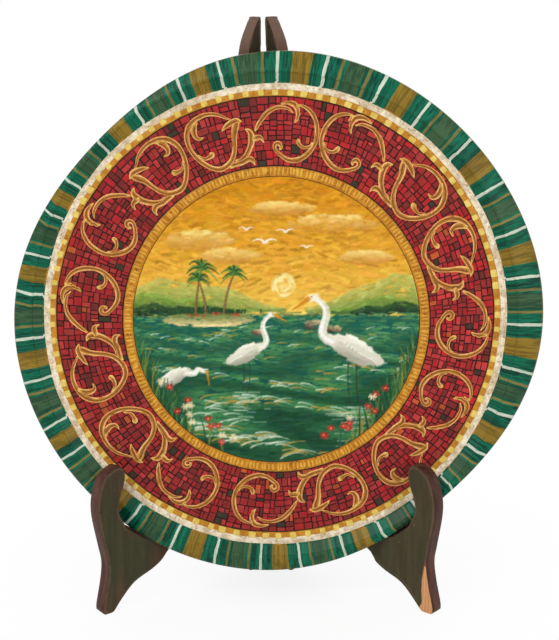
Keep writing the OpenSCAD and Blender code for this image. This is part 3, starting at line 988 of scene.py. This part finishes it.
for k in range(90):
    a, r = in_disc()
    stroke(6 + 9 * r * math.cos(a), 27 + 9 * r * math.sin(a), math.degrees(a) + 90, 4, 1.8,
           vary((252, 236, 170), 4), 0.5)
print("sky painted")


# %% Hills, woods and the far shore
def ridge_line(x, peaks):
    return sum(high * math.exp(-((x - at) / wide) ** 2) for at, high, wide in peaks)


def hills(peaks, base, foot, top, low, count):
    """One range: peaks of (place, height, width), lighter towards its crest."""
    for k in range(count):
        x = brush_dice.uniform(-112, 112)
        crest = ridge_line(x, peaks)
        if crest < 0.8:
            continue
        y = base + (crest + 1) * brush_dice.random() - foot
        slope = math.degrees(math.atan((ridge_line(x + 1, peaks) - crest) * 0.9))
        share = (y - base) / max(crest, 1)
        stroke(x, y, slope + brush_dice.uniform(-14, 14), brush_dice.uniform(3.5, 8),
               brush_dice.uniform(1.2, 2.4), vary(between(low, top, share), 10), 0.85)


hills([(-88, 24, 30), (-40, 15, 26), (62, 12, 22), (98, 26, 26)], 8, 0.5,
      (196, 190, 92), (128, 152, 70), 1500)
hills([(-100, 15, 24), (-62, 9, 20), (84, 12, 24)], 6, 0.5, (140, 168, 66), (70, 108, 48), 1100)
hills([(-96, 8, 16), (-70, 5, 12), (98, 8, 16), (72, 4.5, 9)], 5, 0.4, (52, 86, 44), (24, 52, 34), 620)

# %% Water
def wave(x, y, depth):
    """The swell's height from -1 to 1; waves lengthen towards the viewer."""
    return math.sin(y * (0.5 - 0.25 * depth) + 2.2 * math.sin(x / (16 + 20 * depth) + y / 9))


for k in range(5200):
    depth = brush_dice.random() ** 0.85
    y = 6 - 118 * depth
    x = brush_dice.uniform(-113, 113)
    colour = between((16, 66, 40), (74, 142, 84), 0.5 + 0.42 * wave(x, y, depth))
    colour = between(colour, (122, 168, 110), 0.5 * (1 - depth) ** 3)
    stroke(x, y, 7 * math.cos(x / 21 + y / 13), brush_dice.uniform(4, 7 + 9 * depth),
           0.8 + 1.5 * depth * brush_dice.random() + 0.3, vary(colour, 9), 0.8)
for k in range(640):
    depth = brush_dice.random() ** 0.8
    y = 2 - 108 * depth
    x = brush_dice.uniform(-108, 108)
    if wave(x, y, depth) < 0.55:
        continue
    bend = 3 + 6 * depth
    colour = (222, 232, 208) if brush_dice.random() < 0.55 else (198, 156, 66)
    tilt = brush_dice.uniform(-0.3, 0.3) * bend
    sweep([(x - bend, y - tilt), (x, y + bend * 0.35), (x + bend, y + tilt)], 0.8 + 0.7 * depth, colour, 0.75)
print("water painted")


# %% A palm island and its rocks
ISLAND = -52
for k in range(420):
    a, r = in_disc()
    x, y = ISLAND + 34 * r * math.cos(a), 1 + 5.5 * r * math.sin(a)
    colour = between((98, 116, 54), (236, 214, 150), 0.5 - 0.6 * math.sin(a) * r)
    stroke(x, y, brush_dice.uniform(-9, 9), brush_dice.uniform(2.5, 6), brush_dice.uniform(0.9, 1.8),
           vary(colour, 12))
for k in range(150):
    x = ISLAND + brush_dice.gauss(0, 15)
    y = 7 + 3.4 * math.exp(-((x - ISLAND) / 14) ** 2) * brush_dice.random()
    stroke(x, y, brush_dice.uniform(50, 130), 3.4, 1.4, vary((34, 72, 38), 12))
for k in range(14):
    x = ISLAND + brush_dice.uniform(-24, 24)
    stroke(x, brush_dice.uniform(3.4, 6), 0, 1.8, 1.4, vary((200, 52, 40), 10), 0.95)


def palm(x, y, high, bend):
    top = (x + bend, y + high)
    sweep([(x, y), (x + bend * 0.15, y + high * 0.55), top], 2.2, (104, 74, 44), 0.95, 0.55)
    sweep([(x - 0.4, y), (x - 0.4 + bend * 0.15, y + high * 0.55), top], 0.8, (186, 146, 84), 0.7, 0.5)
    for k in range(11):
        a = math.radians(-28 + 23.5 * k + brush_dice.uniform(-6, 6))
        r = brush_dice.uniform(10, 14) * high / 34
        out = (top[0] + r * math.cos(a), top[1] + r * math.sin(a) * 0.75 - r * 0.3)
        up = (top[0] + r * 0.5 * math.cos(a), top[1] + r * 0.62 * math.sin(a) + r * 0.28)
        colour = (30, 76, 42) if k % 2 else (96, 142, 56)
        sweep([top, up, out], 2.3, colour, 0.9, 0.25, 10)


palm(-62, 6, 34, 5)
palm(-54, 6, 26, -6)
palm(-40, 6, 30, 8)
for x, y, wide in ((30, -4, 9), (44, -7, 6), (-14, -9, 5)):
    for k in range(60):
        a, r = in_disc()
        colour = between((74, 58, 44), (214, 188, 144), 0.5 + 0.55 * math.sin(a + 0.6) * r)
        stroke(x + wide * r * math.cos(a), y + wide * 0.42 * r * math.sin(a), brush_dice.uniform(-30, 30),
               2.6, 1.3, vary(colour, 9))


# %% Egrets
def egret(x, y, size, way, stoop=0.0):
    """A wading bird: shaded body, folded wing, S-shaped neck, bill and legs."""
    def at(right, up):
        return (x + way * right * size, y + up * size)

    for foot in (-1.2, 2.2):
        leg = [at(foot, 9), at(foot + 0.8, 3), at(foot - 0.4, -8)]
        sweep(leg, 0.75 * size ** 0.5, (52, 44, 34), 0.95, 0.7)
    for k in range(int(230 * size)):
        a, r = in_disc()
        right = 10.5 * r * math.cos(a)
        up = 14 + 5.4 * r * math.sin(a) * (1 - 0.035 * abs(right)) + right * 0.42
        light = 0.62 + 0.42 * math.sin(a) * r
        spot = at(right, up)
        stroke(spot[0], spot[1], way * (24 + brush_dice.uniform(-14, 14)), 3.6 * size, 1.3 * size ** 0.5,
               vary(between((152, 150, 128), (250, 246, 230), light), 6), 0.85)
    for k in range(9):
        feather = [at(4 - k * 0.7, 17 - k * 0.5), at(-5 - k * 0.4, 12.4 - k * 0.3),
                   at(-13.5 + k * 0.5, 8.4 - k * 0.1)]
        sweep(feather, 1.1 * size ** 0.5, (196, 192, 168) if k % 2 else (252, 248, 236), 0.8)
    chin = at(15 + 5 * stoop, 37 - 19 * stoop)
    neck = [at(8, 17), at(20, 22 - 8 * stoop), at(3 + 9 * stoop, 29 - 6 * stoop), chin]
    sweep(neck, 3.9 * size, (232, 228, 208), 0.95, 0.62)
    sweep([(a + way * 0.6 * size, b + 0.3 * size) for a, b in neck], 1.7 * size, (252, 250, 240), 0.9, 0.6)
    head_x, head_y = chin
    stroke(head_x + way * size * 0.8, head_y + 0.3 * size, way * -8, 4.6 * size, 3 * size,
           (248, 244, 228), 0.95)
    droop = math.radians(-22 - 45 * stoop)
    tip = (head_x + way * 10.5 * size * math.cos(droop), head_y + 10.5 * size * math.sin(droop))
    start = (head_x + way * 2.6 * size, head_y)
    halfway = ((start[0] + tip[0]) / 2, (start[1] + tip[1]) / 2)
    sweep([start, halfway, tip], 1.7 * size, (214, 140, 34), 0.98, 0.2)
    stroke(head_x + way * 1.6 * size, head_y + 0.7 * size, 0, 0.8, 0.8, (30, 26, 22), 0.9)
    for k in range(int(26 * size)):
        spot = at(brush_dice.gauss(1, 5), -9 - abs(brush_dice.gauss(0, 9)))
        stroke(spot[0], spot[1], 0, brush_dice.uniform(3, 9) * size, 0.9, vary((206, 220, 196), 8), 0.55)


egret(-24, -44, 1.3, 1)
egret(60, -50, 1.9, -1, 0.1)
egret(-80, -60, 1.15, 1, 1.0)
for x, y, size in ((-8, 60, 1.0), (8, 68, 0.8), (-22, 70, 0.7), (24, 56, 0.6)):
    for way in (-1, 1):
        wing = [(x, y), (x + way * 4 * size, y + 4.4 * size), (x + way * 9 * size, y + 1.5 * size)]
        sweep(wing, 1.7 * size, (250, 246, 232), 0.95, 0.3)
    stroke(x, y, 10, 4.4 * size, 1.5 * size, (238, 234, 216), 0.95)

# %% Reeds and red water flowers in front
for k in range(300):
    side_x = brush_dice.choice((-1, 1))
    x = side_x * (108 - abs(brush_dice.gauss(0, 24)))
    y = -math.sqrt(max(0, 112 ** 2 - x * x)) - 2
    high = brush_dice.uniform(10, 30)
    lean_x = brush_dice.uniform(-7, 7)
    colour = brush_dice.choice(((18, 62, 40), (58, 112, 52), (134, 138, 54), (30, 84, 56)))
    sweep([(x, y), (x + lean_x * 0.2, y + high * 0.6), (x + lean_x, y + high)], 1.7, colour, 0.9, 0.25, 8)
for k in range(26):
    side_x = brush_dice.choice((-1, 1))
    x = side_x * brush_dice.uniform(34, 92)
    y = -math.sqrt(max(0, 110 ** 2 - x * x)) + brush_dice.uniform(6, 24)
    red = brush_dice.random() < 0.65
    for petal in range(6):
        a = math.radians(60 * petal + brush_dice.uniform(-12, 12))
        colour = vary((198, 46, 44) if red else (240, 226, 196), 12)
        stroke(x + 1.7 * math.cos(a), y + 1.3 * math.sin(a), math.degrees(a), 3.0, 1.5, colour, 0.95)
    stroke(x, y, 0, 1.2, 1.2, (238, 190, 70), 0.95)
print("canvas:", canvas.shape[:2], "cells of", CELL, "mm")

# %% The canvas becomes a mesh
def canvas_mesh(radius):
    """Keep the canvas cells inside a circle: points in millimetres, their colours, and the faces."""
    grid_x, grid_y = np.meshgrid(axis, axis)
    inside = np.hypot(grid_x, grid_y) < radius
    label = -np.ones(inside.shape, int)
    label[inside] = np.arange(inside.sum())
    points = np.stack((grid_x[inside], grid_y[inside], 0.08 + 0.11 * relief[inside]), axis=1)
    quads = np.stack((label[:-1, :-1], label[:-1, 1:], label[1:, 1:], label[1:, :-1]), axis=-1).reshape(-1, 4)
    quads = quads[(quads >= 0).all(axis=1)]
    used, places = np.unique(quads, return_inverse=True)
    faces = [tuple(face) for face in places.reshape(-1, 4).tolist()]
    return points[used], canvas[inside][used], faces


def closed_below(points, colours, faces, depth):
    """Drop a skirt from the open edge and close it with one face below."""
    edges = {}
    for face in faces:
        for v, w in zip(face, face[1:] + face[:1]):
            if edges.pop((w, v), None) is None:
                edges[(v, w)] = True
    rim = sorted({v for v, w in edges})
    below = {v: len(points) + k for k, v in enumerate(rim)}
    skirt = points[rim].copy()
    skirt[:, 2] = depth
    follow = dict(list(edges))
    loop, here = [], next(iter(follow))
    for _ in follow:
        loop.append(below[here])
        here = follow[here]
    walls = [(w, v, below[v], below[w]) for v, w in edges]
    return np.vstack((points, skirt)), np.vstack((colours, colours[rim])), faces + walls + [tuple(loop[::-1])]


spots, colours, faces = closed_below(*canvas_mesh(111.75), -0.3)
linear = [paint(*colour) for colour in colours]
print("landscape faces:", len(faces))

# %% Artist's paint of the picture
oils, tree, shader = new_material("landscape paint", roughness=0.32)
own = painted(tree, "paint", "Color")
place = objects_place(tree)
bristle = use(tree, streaks, {"Vector": stretch(tree, place, (1, 1, 2.4)), "Scale": 230.0})
greys = mix(tree, bristle["Tone"], paint(92, 92, 92), paint(184, 184, 184))
colour = mix(tree, 0.22, own, greys, "OVERLAY")
dress(tree, shader, colour, scaled(tree, bristle["Height"], 0.3, 0.2), bristle["Height"], 0.0002)
places = on_plate(spots[:, 0] + DRIFT[0], spots[:, 1] + DRIFT[1], spots[:, 2])
landscape = finish_piece("bay_landscape", places, faces, oils, values={"paint": ("FLOAT_COLOR", linear)})
lay_flat(landscape.data)

# %% [markdown]
# The stand is two fretsawn boards. Someone broke the sharp edges with sandpaper, brushed on a
# dark olive-brown paint, and years of folding have rubbed it. A copy of each CAD board is
# welded, its outline arrises, its foot and its top are rounded, and it is then cut finely enough
# to be shaped point by point: the slot is filed to the rim, the outline is filled out and the top
# sanded to a finger. It carries three values for its paint: how far each point is from an arris,
# how far from the foot's chipped arris, and whether it belongs to a sawn edge. The hinge seats
# and screw holes are left crisp.

# %% Measuring a board
def share_of(value, start, end):
    """How far a value has come from start to end, kept within 0 and 1."""
    return min(1, max(0, (value - start) / (end - start)))


def inner_direction(shape, side):
    """The outward direction of the broad face that looks towards the other board."""
    totals = {}
    for face in shape.faces:
        key = tuple(round(v, 2) for v in face.normal)
        totals[key] = totals.get(key, 0) + face.calc_area()
    broad = Vector(max(totals, key=totals.get)).normalized()
    broad_faces = [face for face in shape.faces if face.normal @ broad > 0.999]
    broad = sum((face.normal * face.calc_area() for face in broad_faces), Vector()).normalized()
    return broad if broad.x * side > 0 else -broad


def board_direction(inner):
    """Level, along the board and away from the fold."""
    away = Vector((inner.y, -inner.x, 0)).normalized()
    return away if away.y < 0 else -away


def foot_corner(edge):
    """One face is the flat sole, the other leaves it at more than 25 degrees."""
    if len(edge.link_faces) != 2 or any(v.co.z > 0.0003 for v in edge.verts):
        return False
    first, second = (face.normal for face in edge.link_faces)
    steep = first.angle(second) > math.radians(25) and max(first.z, second.z) < -0.15
    return min(first.z, second.z) < -0.99 and steep


def tip_corner(edge, inner):
    """Where the level top meets the outer broad face."""
    if len(edge.link_faces) != 2 or any(v.co.z < 0.4505 for v in edge.verts):
        return False
    first, second = (face.normal for face in edge.link_faces)
    return max(first.z, second.z) > 0.95 and min(first @ inner, second @ inner) < -0.95


# %% Shaping a board by hand
RIM_GAP = 0.45
SLOT_REAR, SLOT_FRONT = -10.5, 3.2
SLOT_RADIUS, SLOT_HALF = 204, 11
SEAT_MARGIN = 0.004
LONGEST_EDGE = 0.0055
PROUD, PROUD_REAR, FOOT_MORE = 0.8, 1.6, 1.4
TIP_HEIGHTS = [424, 433, 436, 439, 442, 445, 448.5, 451]
TIP_SHIFTS = [0.4, 0.3, -0.1, -0.8, -1.6, -2.2, -2.9, -3.2]
pin_low, pin_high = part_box("upper_hinge_pin")
fold = Vector(((pin_low.x + pin_high.x) / 2, (pin_low.y + pin_high.y) / 2, 0))


def file_slot(shape, inner):
    """File the floor of the plate's slot until it follows the rim, with RIM_GAP between them."""
    filed = 0
    for vertex in shape.verts:
        right, up, out = from_plate(vertex.co)
        if up > -100 or not SLOT_REAR < out < SLOT_FRONT:
            continue
        angle = math.atan2(up, right)
        gap = math.hypot(right, up) - edge_radius(angle)
        if not RIM_GAP < gap < 5.2 or not any(abs(face.normal @ inner) < 0.3 for face in vertex.link_faces):
            continue
        outward = Vector(math.cos(angle) * RIGHT + math.sin(angle) * UP)
        along = outward - inner * (outward @ inner)
        share = share_of(out, SLOT_REAR, -8) * share_of(out, SLOT_FRONT, 1.7) * share_of(gap, 5.2, 3.6)
        vertex.co -= along * ((gap - RIM_GAP) * share / along.length_squared * 0.001)
        filed += 1
    print("  slot points filed:", filed)


def fill_out(shape, inner, seats, side):
    """Paint and filler stand proud of the sawn outline, but not by a hinge or in the slot.

    They are thickest along the rear edge and on the arch side of the right foot. The top of
    each board is sanded to a finger.
    """
    away = board_direction(inner)
    shape.normal_update()
    moves = []
    for vertex in shape.verts:
        along = vertex.normal - inner * (vertex.normal @ inner)
        right, up, out = from_plate(vertex.co)
        from_slot = max(math.hypot(right, up) - SLOT_RADIUS, abs(out) - SLOT_HALF)
        from_seat = min(max(max(low[k] - vertex.co[k], vertex.co[k] - high[k]) for k in range(3))
                        for low, high in seats) * 1000
        reach = (vertex.co - fold) @ away * 1000
        height = vertex.co.z * 1000
        amount = PROUD if reach > 4 else PROUD_REAR
        if height > TIP_HEIGHTS[0]:
            along.z = 0
        elif side < 0 and along @ away < -0.2:
            amount += FOOT_MORE * share_of(height, -2, 4) * share_of(height, 60, 45)
        move = along * (amount * share_of(from_slot, 0, 5) * share_of(from_seat, 3, 8))
        sanded = float(np.interp(height, TIP_HEIGHTS, TIP_SHIFTS, left=0))
        move += away * (sanded * share_of(reach, 2.2, 5.7))
        move.z -= 0.7 * share_of(height, 440, 451)
        move.z -= 0.9 * share_of(height, 447, 451) * share_of(reach, 3.8, 6.2)
        moves.append(move * 0.001)
    for vertex, move in zip(shape.verts, moves):
        vertex.co += move
        vertex.co.z = max(0, vertex.co.z)


# %% Wear stored on a board
def points_tree(points):
    tree = KDTree(len(points))
    for k, point in enumerate(points):
        tree.insert(point, k)
    tree.balance()
    return tree


def store_wear(mesh, inner, near, trail):
    """Distances in millimetres to any arris and to the chipped foot arris; and what is sawn."""
    away = board_direction(inner)
    low = [(int(p.z * 500), p) for p in trail if p.z < 0.046 and -(p @ inner) - near < 0.0005]
    front = {}
    for level, p in low:
        front[level] = max(front.get(level, -9), p @ away)
    foot = [p for level, p in low if p @ away > front[level] - 0.004]
    print("  foot arris points:", len(foot))
    for label, points in (("gap", trail), ("chip", foot)):
        tree = points_tree(points)
        far = [min(60, tree.find(vertex.co)[2] * 1000) for vertex in mesh.vertices]
        mesh.attributes.new(label, "FLOAT", "POINT").data.foreach_set("value", far)
    sawn = [1 - abs(face.normal @ inner) for face in mesh.polygons]
    mesh.attributes.new("sawn", "FLOAT", "FACE").data.foreach_set("value", sawn)


# %% Rounding a board
def round_off(shape, edges, radius, segments):
    bmesh.ops.bevel(shape, geom=edges, offset=radius, segments=segments, profile=0.5, affect="EDGES",
                    clamp_overlap=False)


def rounded_board(hand, side, material):
    """Round, fill, file and sand a copy of the left or right board; its inner face looks to `side` X."""
    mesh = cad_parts[hand + "_board"].data.copy()
    mesh.name = hand + "_board_worn"
    shape = bmesh.new()
    shape.from_mesh(mesh)
    bmesh.ops.remove_doubles(shape, verts=shape.verts, dist=2e-6)
    bmesh.ops.dissolve_limit(shape, angle_limit=math.radians(0.4), verts=shape.verts, edges=shape.edges)
    inner = inner_direction(shape, side)
    depths = [-(vertex.co @ inner) for vertex in shape.verts]
    near, far = min(depths), max(depths)
    seats = [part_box(f"{level}_{hand}_{part}") for level in ("upper", "lower") for part in ("leaf", "screws")]

    def crisp(point):
        """By a hinge, or in the slot that holds the plate."""
        right, up, out = from_plate(point)
        if math.hypot(right, up) < SLOT_RADIUS and abs(out) < SLOT_HALF:
            return True
        return any(all(low[k] - SEAT_MARGIN < point[k] < high[k] + SEAT_MARGIN for k in range(3))
                   for low, high in seats)

    round_off(shape, [edge for edge in shape.edges if foot_corner(edge)], 0.0024, 4)
    round_off(shape, [edge for edge in shape.edges if tip_corner(edge, inner)], 0.0022, 4)
    arrises, trail = [], []
    for edge in shape.edges:
        if len(edge.link_faces) != 2:
            continue
        facing = sorted(abs(face.normal @ inner) for face in edge.link_faces)
        ends = [vertex.co for vertex in edge.verts]
        outside = all(min(abs(-(p @ inner) - near), abs(-(p @ inner) - far)) < 0.0002 for p in ends)
        if facing[0] < 0.3 and facing[1] > 0.95 and outside and not any(crisp(p) for p in ends):
            arrises.append(edge)
            count = max(1, int(edge.calc_length() / 0.001))
            trail += [ends[0].lerp(ends[1], k / count) for k in range(count + 1)]
    round_off(shape, arrises, 0.0006, 2)
    bmesh.ops.triangulate(shape, faces=shape.faces)
    for turn in range(7):
        long = [edge for edge in shape.edges if edge.calc_length() > LONGEST_EDGE]
        if not long:
            break
        bmesh.ops.subdivide_edges(shape, edges=long, cuts=1)
        bmesh.ops.triangulate(shape, faces=shape.faces)
    file_slot(shape, inner)
    fill_out(shape, inner, seats, side)
    shape.normal_update()
    shape.to_mesh(mesh)
    shape.free()
    store_wear(mesh, inner, near, trail)
    mesh.materials.clear()
    mesh.materials.append(material)
    keep_mesh(mesh, mesh.name, hand + "_side", hand + "_board")
    mesh.set_sharp_from_angle(angle=math.radians(20))
    print("  thickness", round((far - near) * 1000, 2), "mm, arris points", len(trail))


# %% Board paint
def board_paint(name, face_low, face_high, chip_width):
    """Brushed paint, redder on the sawn edges, rubbed at the arrises, chipped at one foot."""
    material, tree, shader = new_material(name, roughness=0.55)
    place = objects_place(tree)
    sawn = painted(tree, "sawn")
    height = put(tree, "ShaderNodeSeparateXYZ", {0: place}).outputs[2]
    brushed = use(tree, streaks, {"Vector": stretch(tree, place, (1, 1, 0.12)), "Scale": 260.0})
    cloud = step(tree, noise(tree, stretch(tree, place, (1, 1, 0.35)), 26.0, 3.0), 0.42, 0.58)
    face = mix(tree, cloud, face_low, face_high)
    face = tint(tree, face, step(tree, height, 0.07, 0.11), 0.5, paint(76, 60, 44))
    face = tint(tree, face, brushed["Tone"], 0.55, paint(54, 46, 33))
    face = tint(tree, face, step(tree, height, 0.34, 0.41), 0.7, paint(42, 36, 24))
    edge = mix(tree, brushed["Tone"], paint(58, 34, 28), paint(96, 62, 50))
    edge = mix(tree, step(tree, height, 0.40, 0.44), edge, paint(112, 86, 72))
    colour = mix(tree, step(tree, sawn, 0.12, 0.5), face, edge)
    rubbed = use(tree, worn, {"Gap": painted(tree, "gap"), "Vector": place, "Reach": 0.8})
    colour = tint(tree, colour, rubbed["Mask"], 0.5, paint(112, 84, 66))
    spots = use(tree, flecks, {"Vector": place, "Scale": 300.0, "Amount": 0.24})
    colour = tint(tree, colour, spots["Mask"], 0.55, paint(40, 28, 26))
    drawn = stretch(tree, place, (1.3, 1.3, 1.1))
    pale = use(tree, flecks, {"Vector": drawn, "Scale": 150.0, "Amount": 0.12})
    colour = tint(tree, colour, pale["Mask"], 0.4, paint(140, 116, 92))
    if chip_width:
        wide = times(tree, calc(tree, "POWER", step(tree, height, 0.042, 0.0), 0.64), chip_width)
        ragged = noise(tree, stretch(tree, place, (1, 1, 0.4)), 260.0, 3.0)
        wide = scaled(tree, ragged, 1.1, plus(tree, wide, -0.75))
        inside = minus(tree, wide, painted(tree, "chip"))
        on_face = step(tree, sawn, 0.8, 0.5)
        rim = times(tree, step(tree, inside, -0.8, 0.0), on_face)
        colour = mix(tree, rim, colour, paint(128, 78, 42))
        bare = times(tree, step(tree, inside, -0.05, 0.25), on_face)
        fibre = use(tree, grain, {"Vector": stretch(tree, place, (170, 170, 16)), "Scale": 1.0})
        raw = mix(tree, fibre["Tone"], paint(184, 126, 80), paint(230, 172, 120))
        colour = mix(tree, bare, colour, raw)
    lumps = plus(tree, brushed["Height"], times(tree, spots["Mask"], -0.4))
    dress(tree, shader, colour, scaled(tree, brushed["Height"], 0.3, 0.4), lumps, 0.0004, 0.6)
    return material


left_paint = board_paint("left board paint", paint(64, 66, 44), paint(88, 66, 46), 0)
right_paint = board_paint("right board paint", paint(56, 68, 44), paint(74, 68, 46), 8.2)
rounded_board("left", 1, left_paint)
rounded_board("right", -1, right_paint)

# %% [markdown]
# The two butt hinges, their pins and screws keep the shapes CAD gave them. They are old brass:
# still bright where leaves rub, brown with tarnish elsewhere.

# %% Aged brass
def brass(name, bright, dull, roughness, scale):
    material, tree, shader = new_material(name, gloss=0.5, roughness=roughness, metallic=1.0)
    place = objects_place(tree)
    tarnish = step(tree, noise(tree, place, scale, 5.0, 0.65), 0.4, 0.66)
    spots = use(tree, flecks, {"Vector": place, "Scale": scale * 5, "Amount": 0.3})
    colour = mix(tree, tarnish, bright, dull)
    colour = tint(tree, colour, spots["Mask"], 0.7, paint(70, 56, 34))
    scratches = noise(tree, stretch(tree, place, (1, 1, 0.1)), 1400.0, 2.0)
    dress(tree, shader, colour, scaled(tree, tarnish, 0.25, roughness - 0.1), scratches, 0.0001, 0.4)
    return material


leaf_brass = brass("aged brass leaf", paint(206, 166, 92), paint(138, 104, 56), 0.36, 70.0)
screw_brass = brass("worn brass screw", paint(222, 188, 118), paint(156, 122, 70), 0.3, 160.0)
SHAPED = ("plate", "left_board", "right_board")
for node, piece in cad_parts.items():
    if node in SHAPED:
        continue
    metal = screw_brass if "screws" in node else leaf_brass
    if not piece.data.materials:
        piece.data.materials.append(metal)
    for part in piece.material_slots:
        part.material = metal
print("brass on", len(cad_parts) - len(SHAPED), "nodes")

# %% [markdown]
# The object stands on a plain white floor under soft studio light: a big overhead softbox in
# front on the left, a weaker one on the right, and an even white room. The room and floor look
# pure white to the camera and in reflections through Light Path, not by being brighter, and the
# floor still takes the object's soft shadow.

# %% White room
def shown_white(tree):
    """1 where the camera or a reflection looks, 0 for light on its way to the object."""
    rays = put(tree, "ShaderNodeLightPath").outputs
    mirrored = calc(tree, "MAXIMUM", rays["Is Glossy Ray"], rays["Is Transmission Ray"])
    return calc(tree, "MAXIMUM", rays["Is Camera Ray"], mirrored)


WHITE = (1, 1, 1, 1)
world = bpy.data.worlds.new("white room")
bpy.context.scene.world = world
world.use_nodes = True
tree = world.node_tree
tree.nodes.clear()
seen = shown_white(tree)
room = put(tree, "ShaderNodeBackground", {"Color": WHITE, "Strength": 0.62})
white = put(tree, "ShaderNodeBackground", {"Color": WHITE, "Strength": 1.0})
either = put(tree, "ShaderNodeMixShader", {0: seen, 1: room.outputs[0], 2: white.outputs[0]})
put(tree, "ShaderNodeOutputWorld", {0: either.outputs[0]})

# %% White floor
floor_mesh = bpy.data.meshes.new("floor")
floor_mesh.from_pydata([(-4, -4, 0), (4, -4, 0), (4, 4, 0), (-4, 4, 0)], [], [(0, 1, 2, 3)])
floor = bpy.data.objects.new("floor", floor_mesh)
bpy.context.collection.objects.link(floor)
surface, tree, shader = new_material("white floor", gloss=0.0, roughness=0.9)
shader.inputs["Base Color"].default_value = (0.86, 0.86, 0.86, 1)
seen = shown_white(tree)
glow = put(tree, "ShaderNodeEmission", {"Color": WHITE, "Strength": 1.0})
away = put(tree, "ShaderNodeVectorMath", {0: objects_place(tree)}, operation="LENGTH").outputs["Value"]
share = times(tree, seen, step(tree, away, -1.3, 0.4))
either = put(tree, "ShaderNodeMixShader", {0: share, 1: shader.outputs[0], 2: glow.outputs[0]})
tree.links.new(either.outputs[0], tree.nodes["Material Output"].inputs[0])
floor_mesh.materials.append(surface)

# %% Softboxes
MIDDLE = Vector((0, 0, 0.22))
SOFTBOXES = {"key softbox": ((-1.1, -1.6, 1.9), (1.4, 1.0), 22),
             "fill softbox": ((1.3, -1.5, 1.0), (1.2, 1.2), 8),
             "back softbox": ((0.3, 1.8, 1.5), (1.4, 0.8), 10)}
for name, (place, size, power) in SOFTBOXES.items():
    data = bpy.data.lights.new(name, "AREA")
    data.shape = "RECTANGLE"
    data.size, data.size_y = size
    data.energy = power
    lamp = bpy.data.objects.new(name, data)
    bpy.context.collection.objects.link(lamp)
    lamp.location = place
    lamp.rotation_euler = (MIDDLE - Vector(place)).to_track_quat("-Z", "Y").to_euler()
print("lamps:", list(SOFTBOXES))
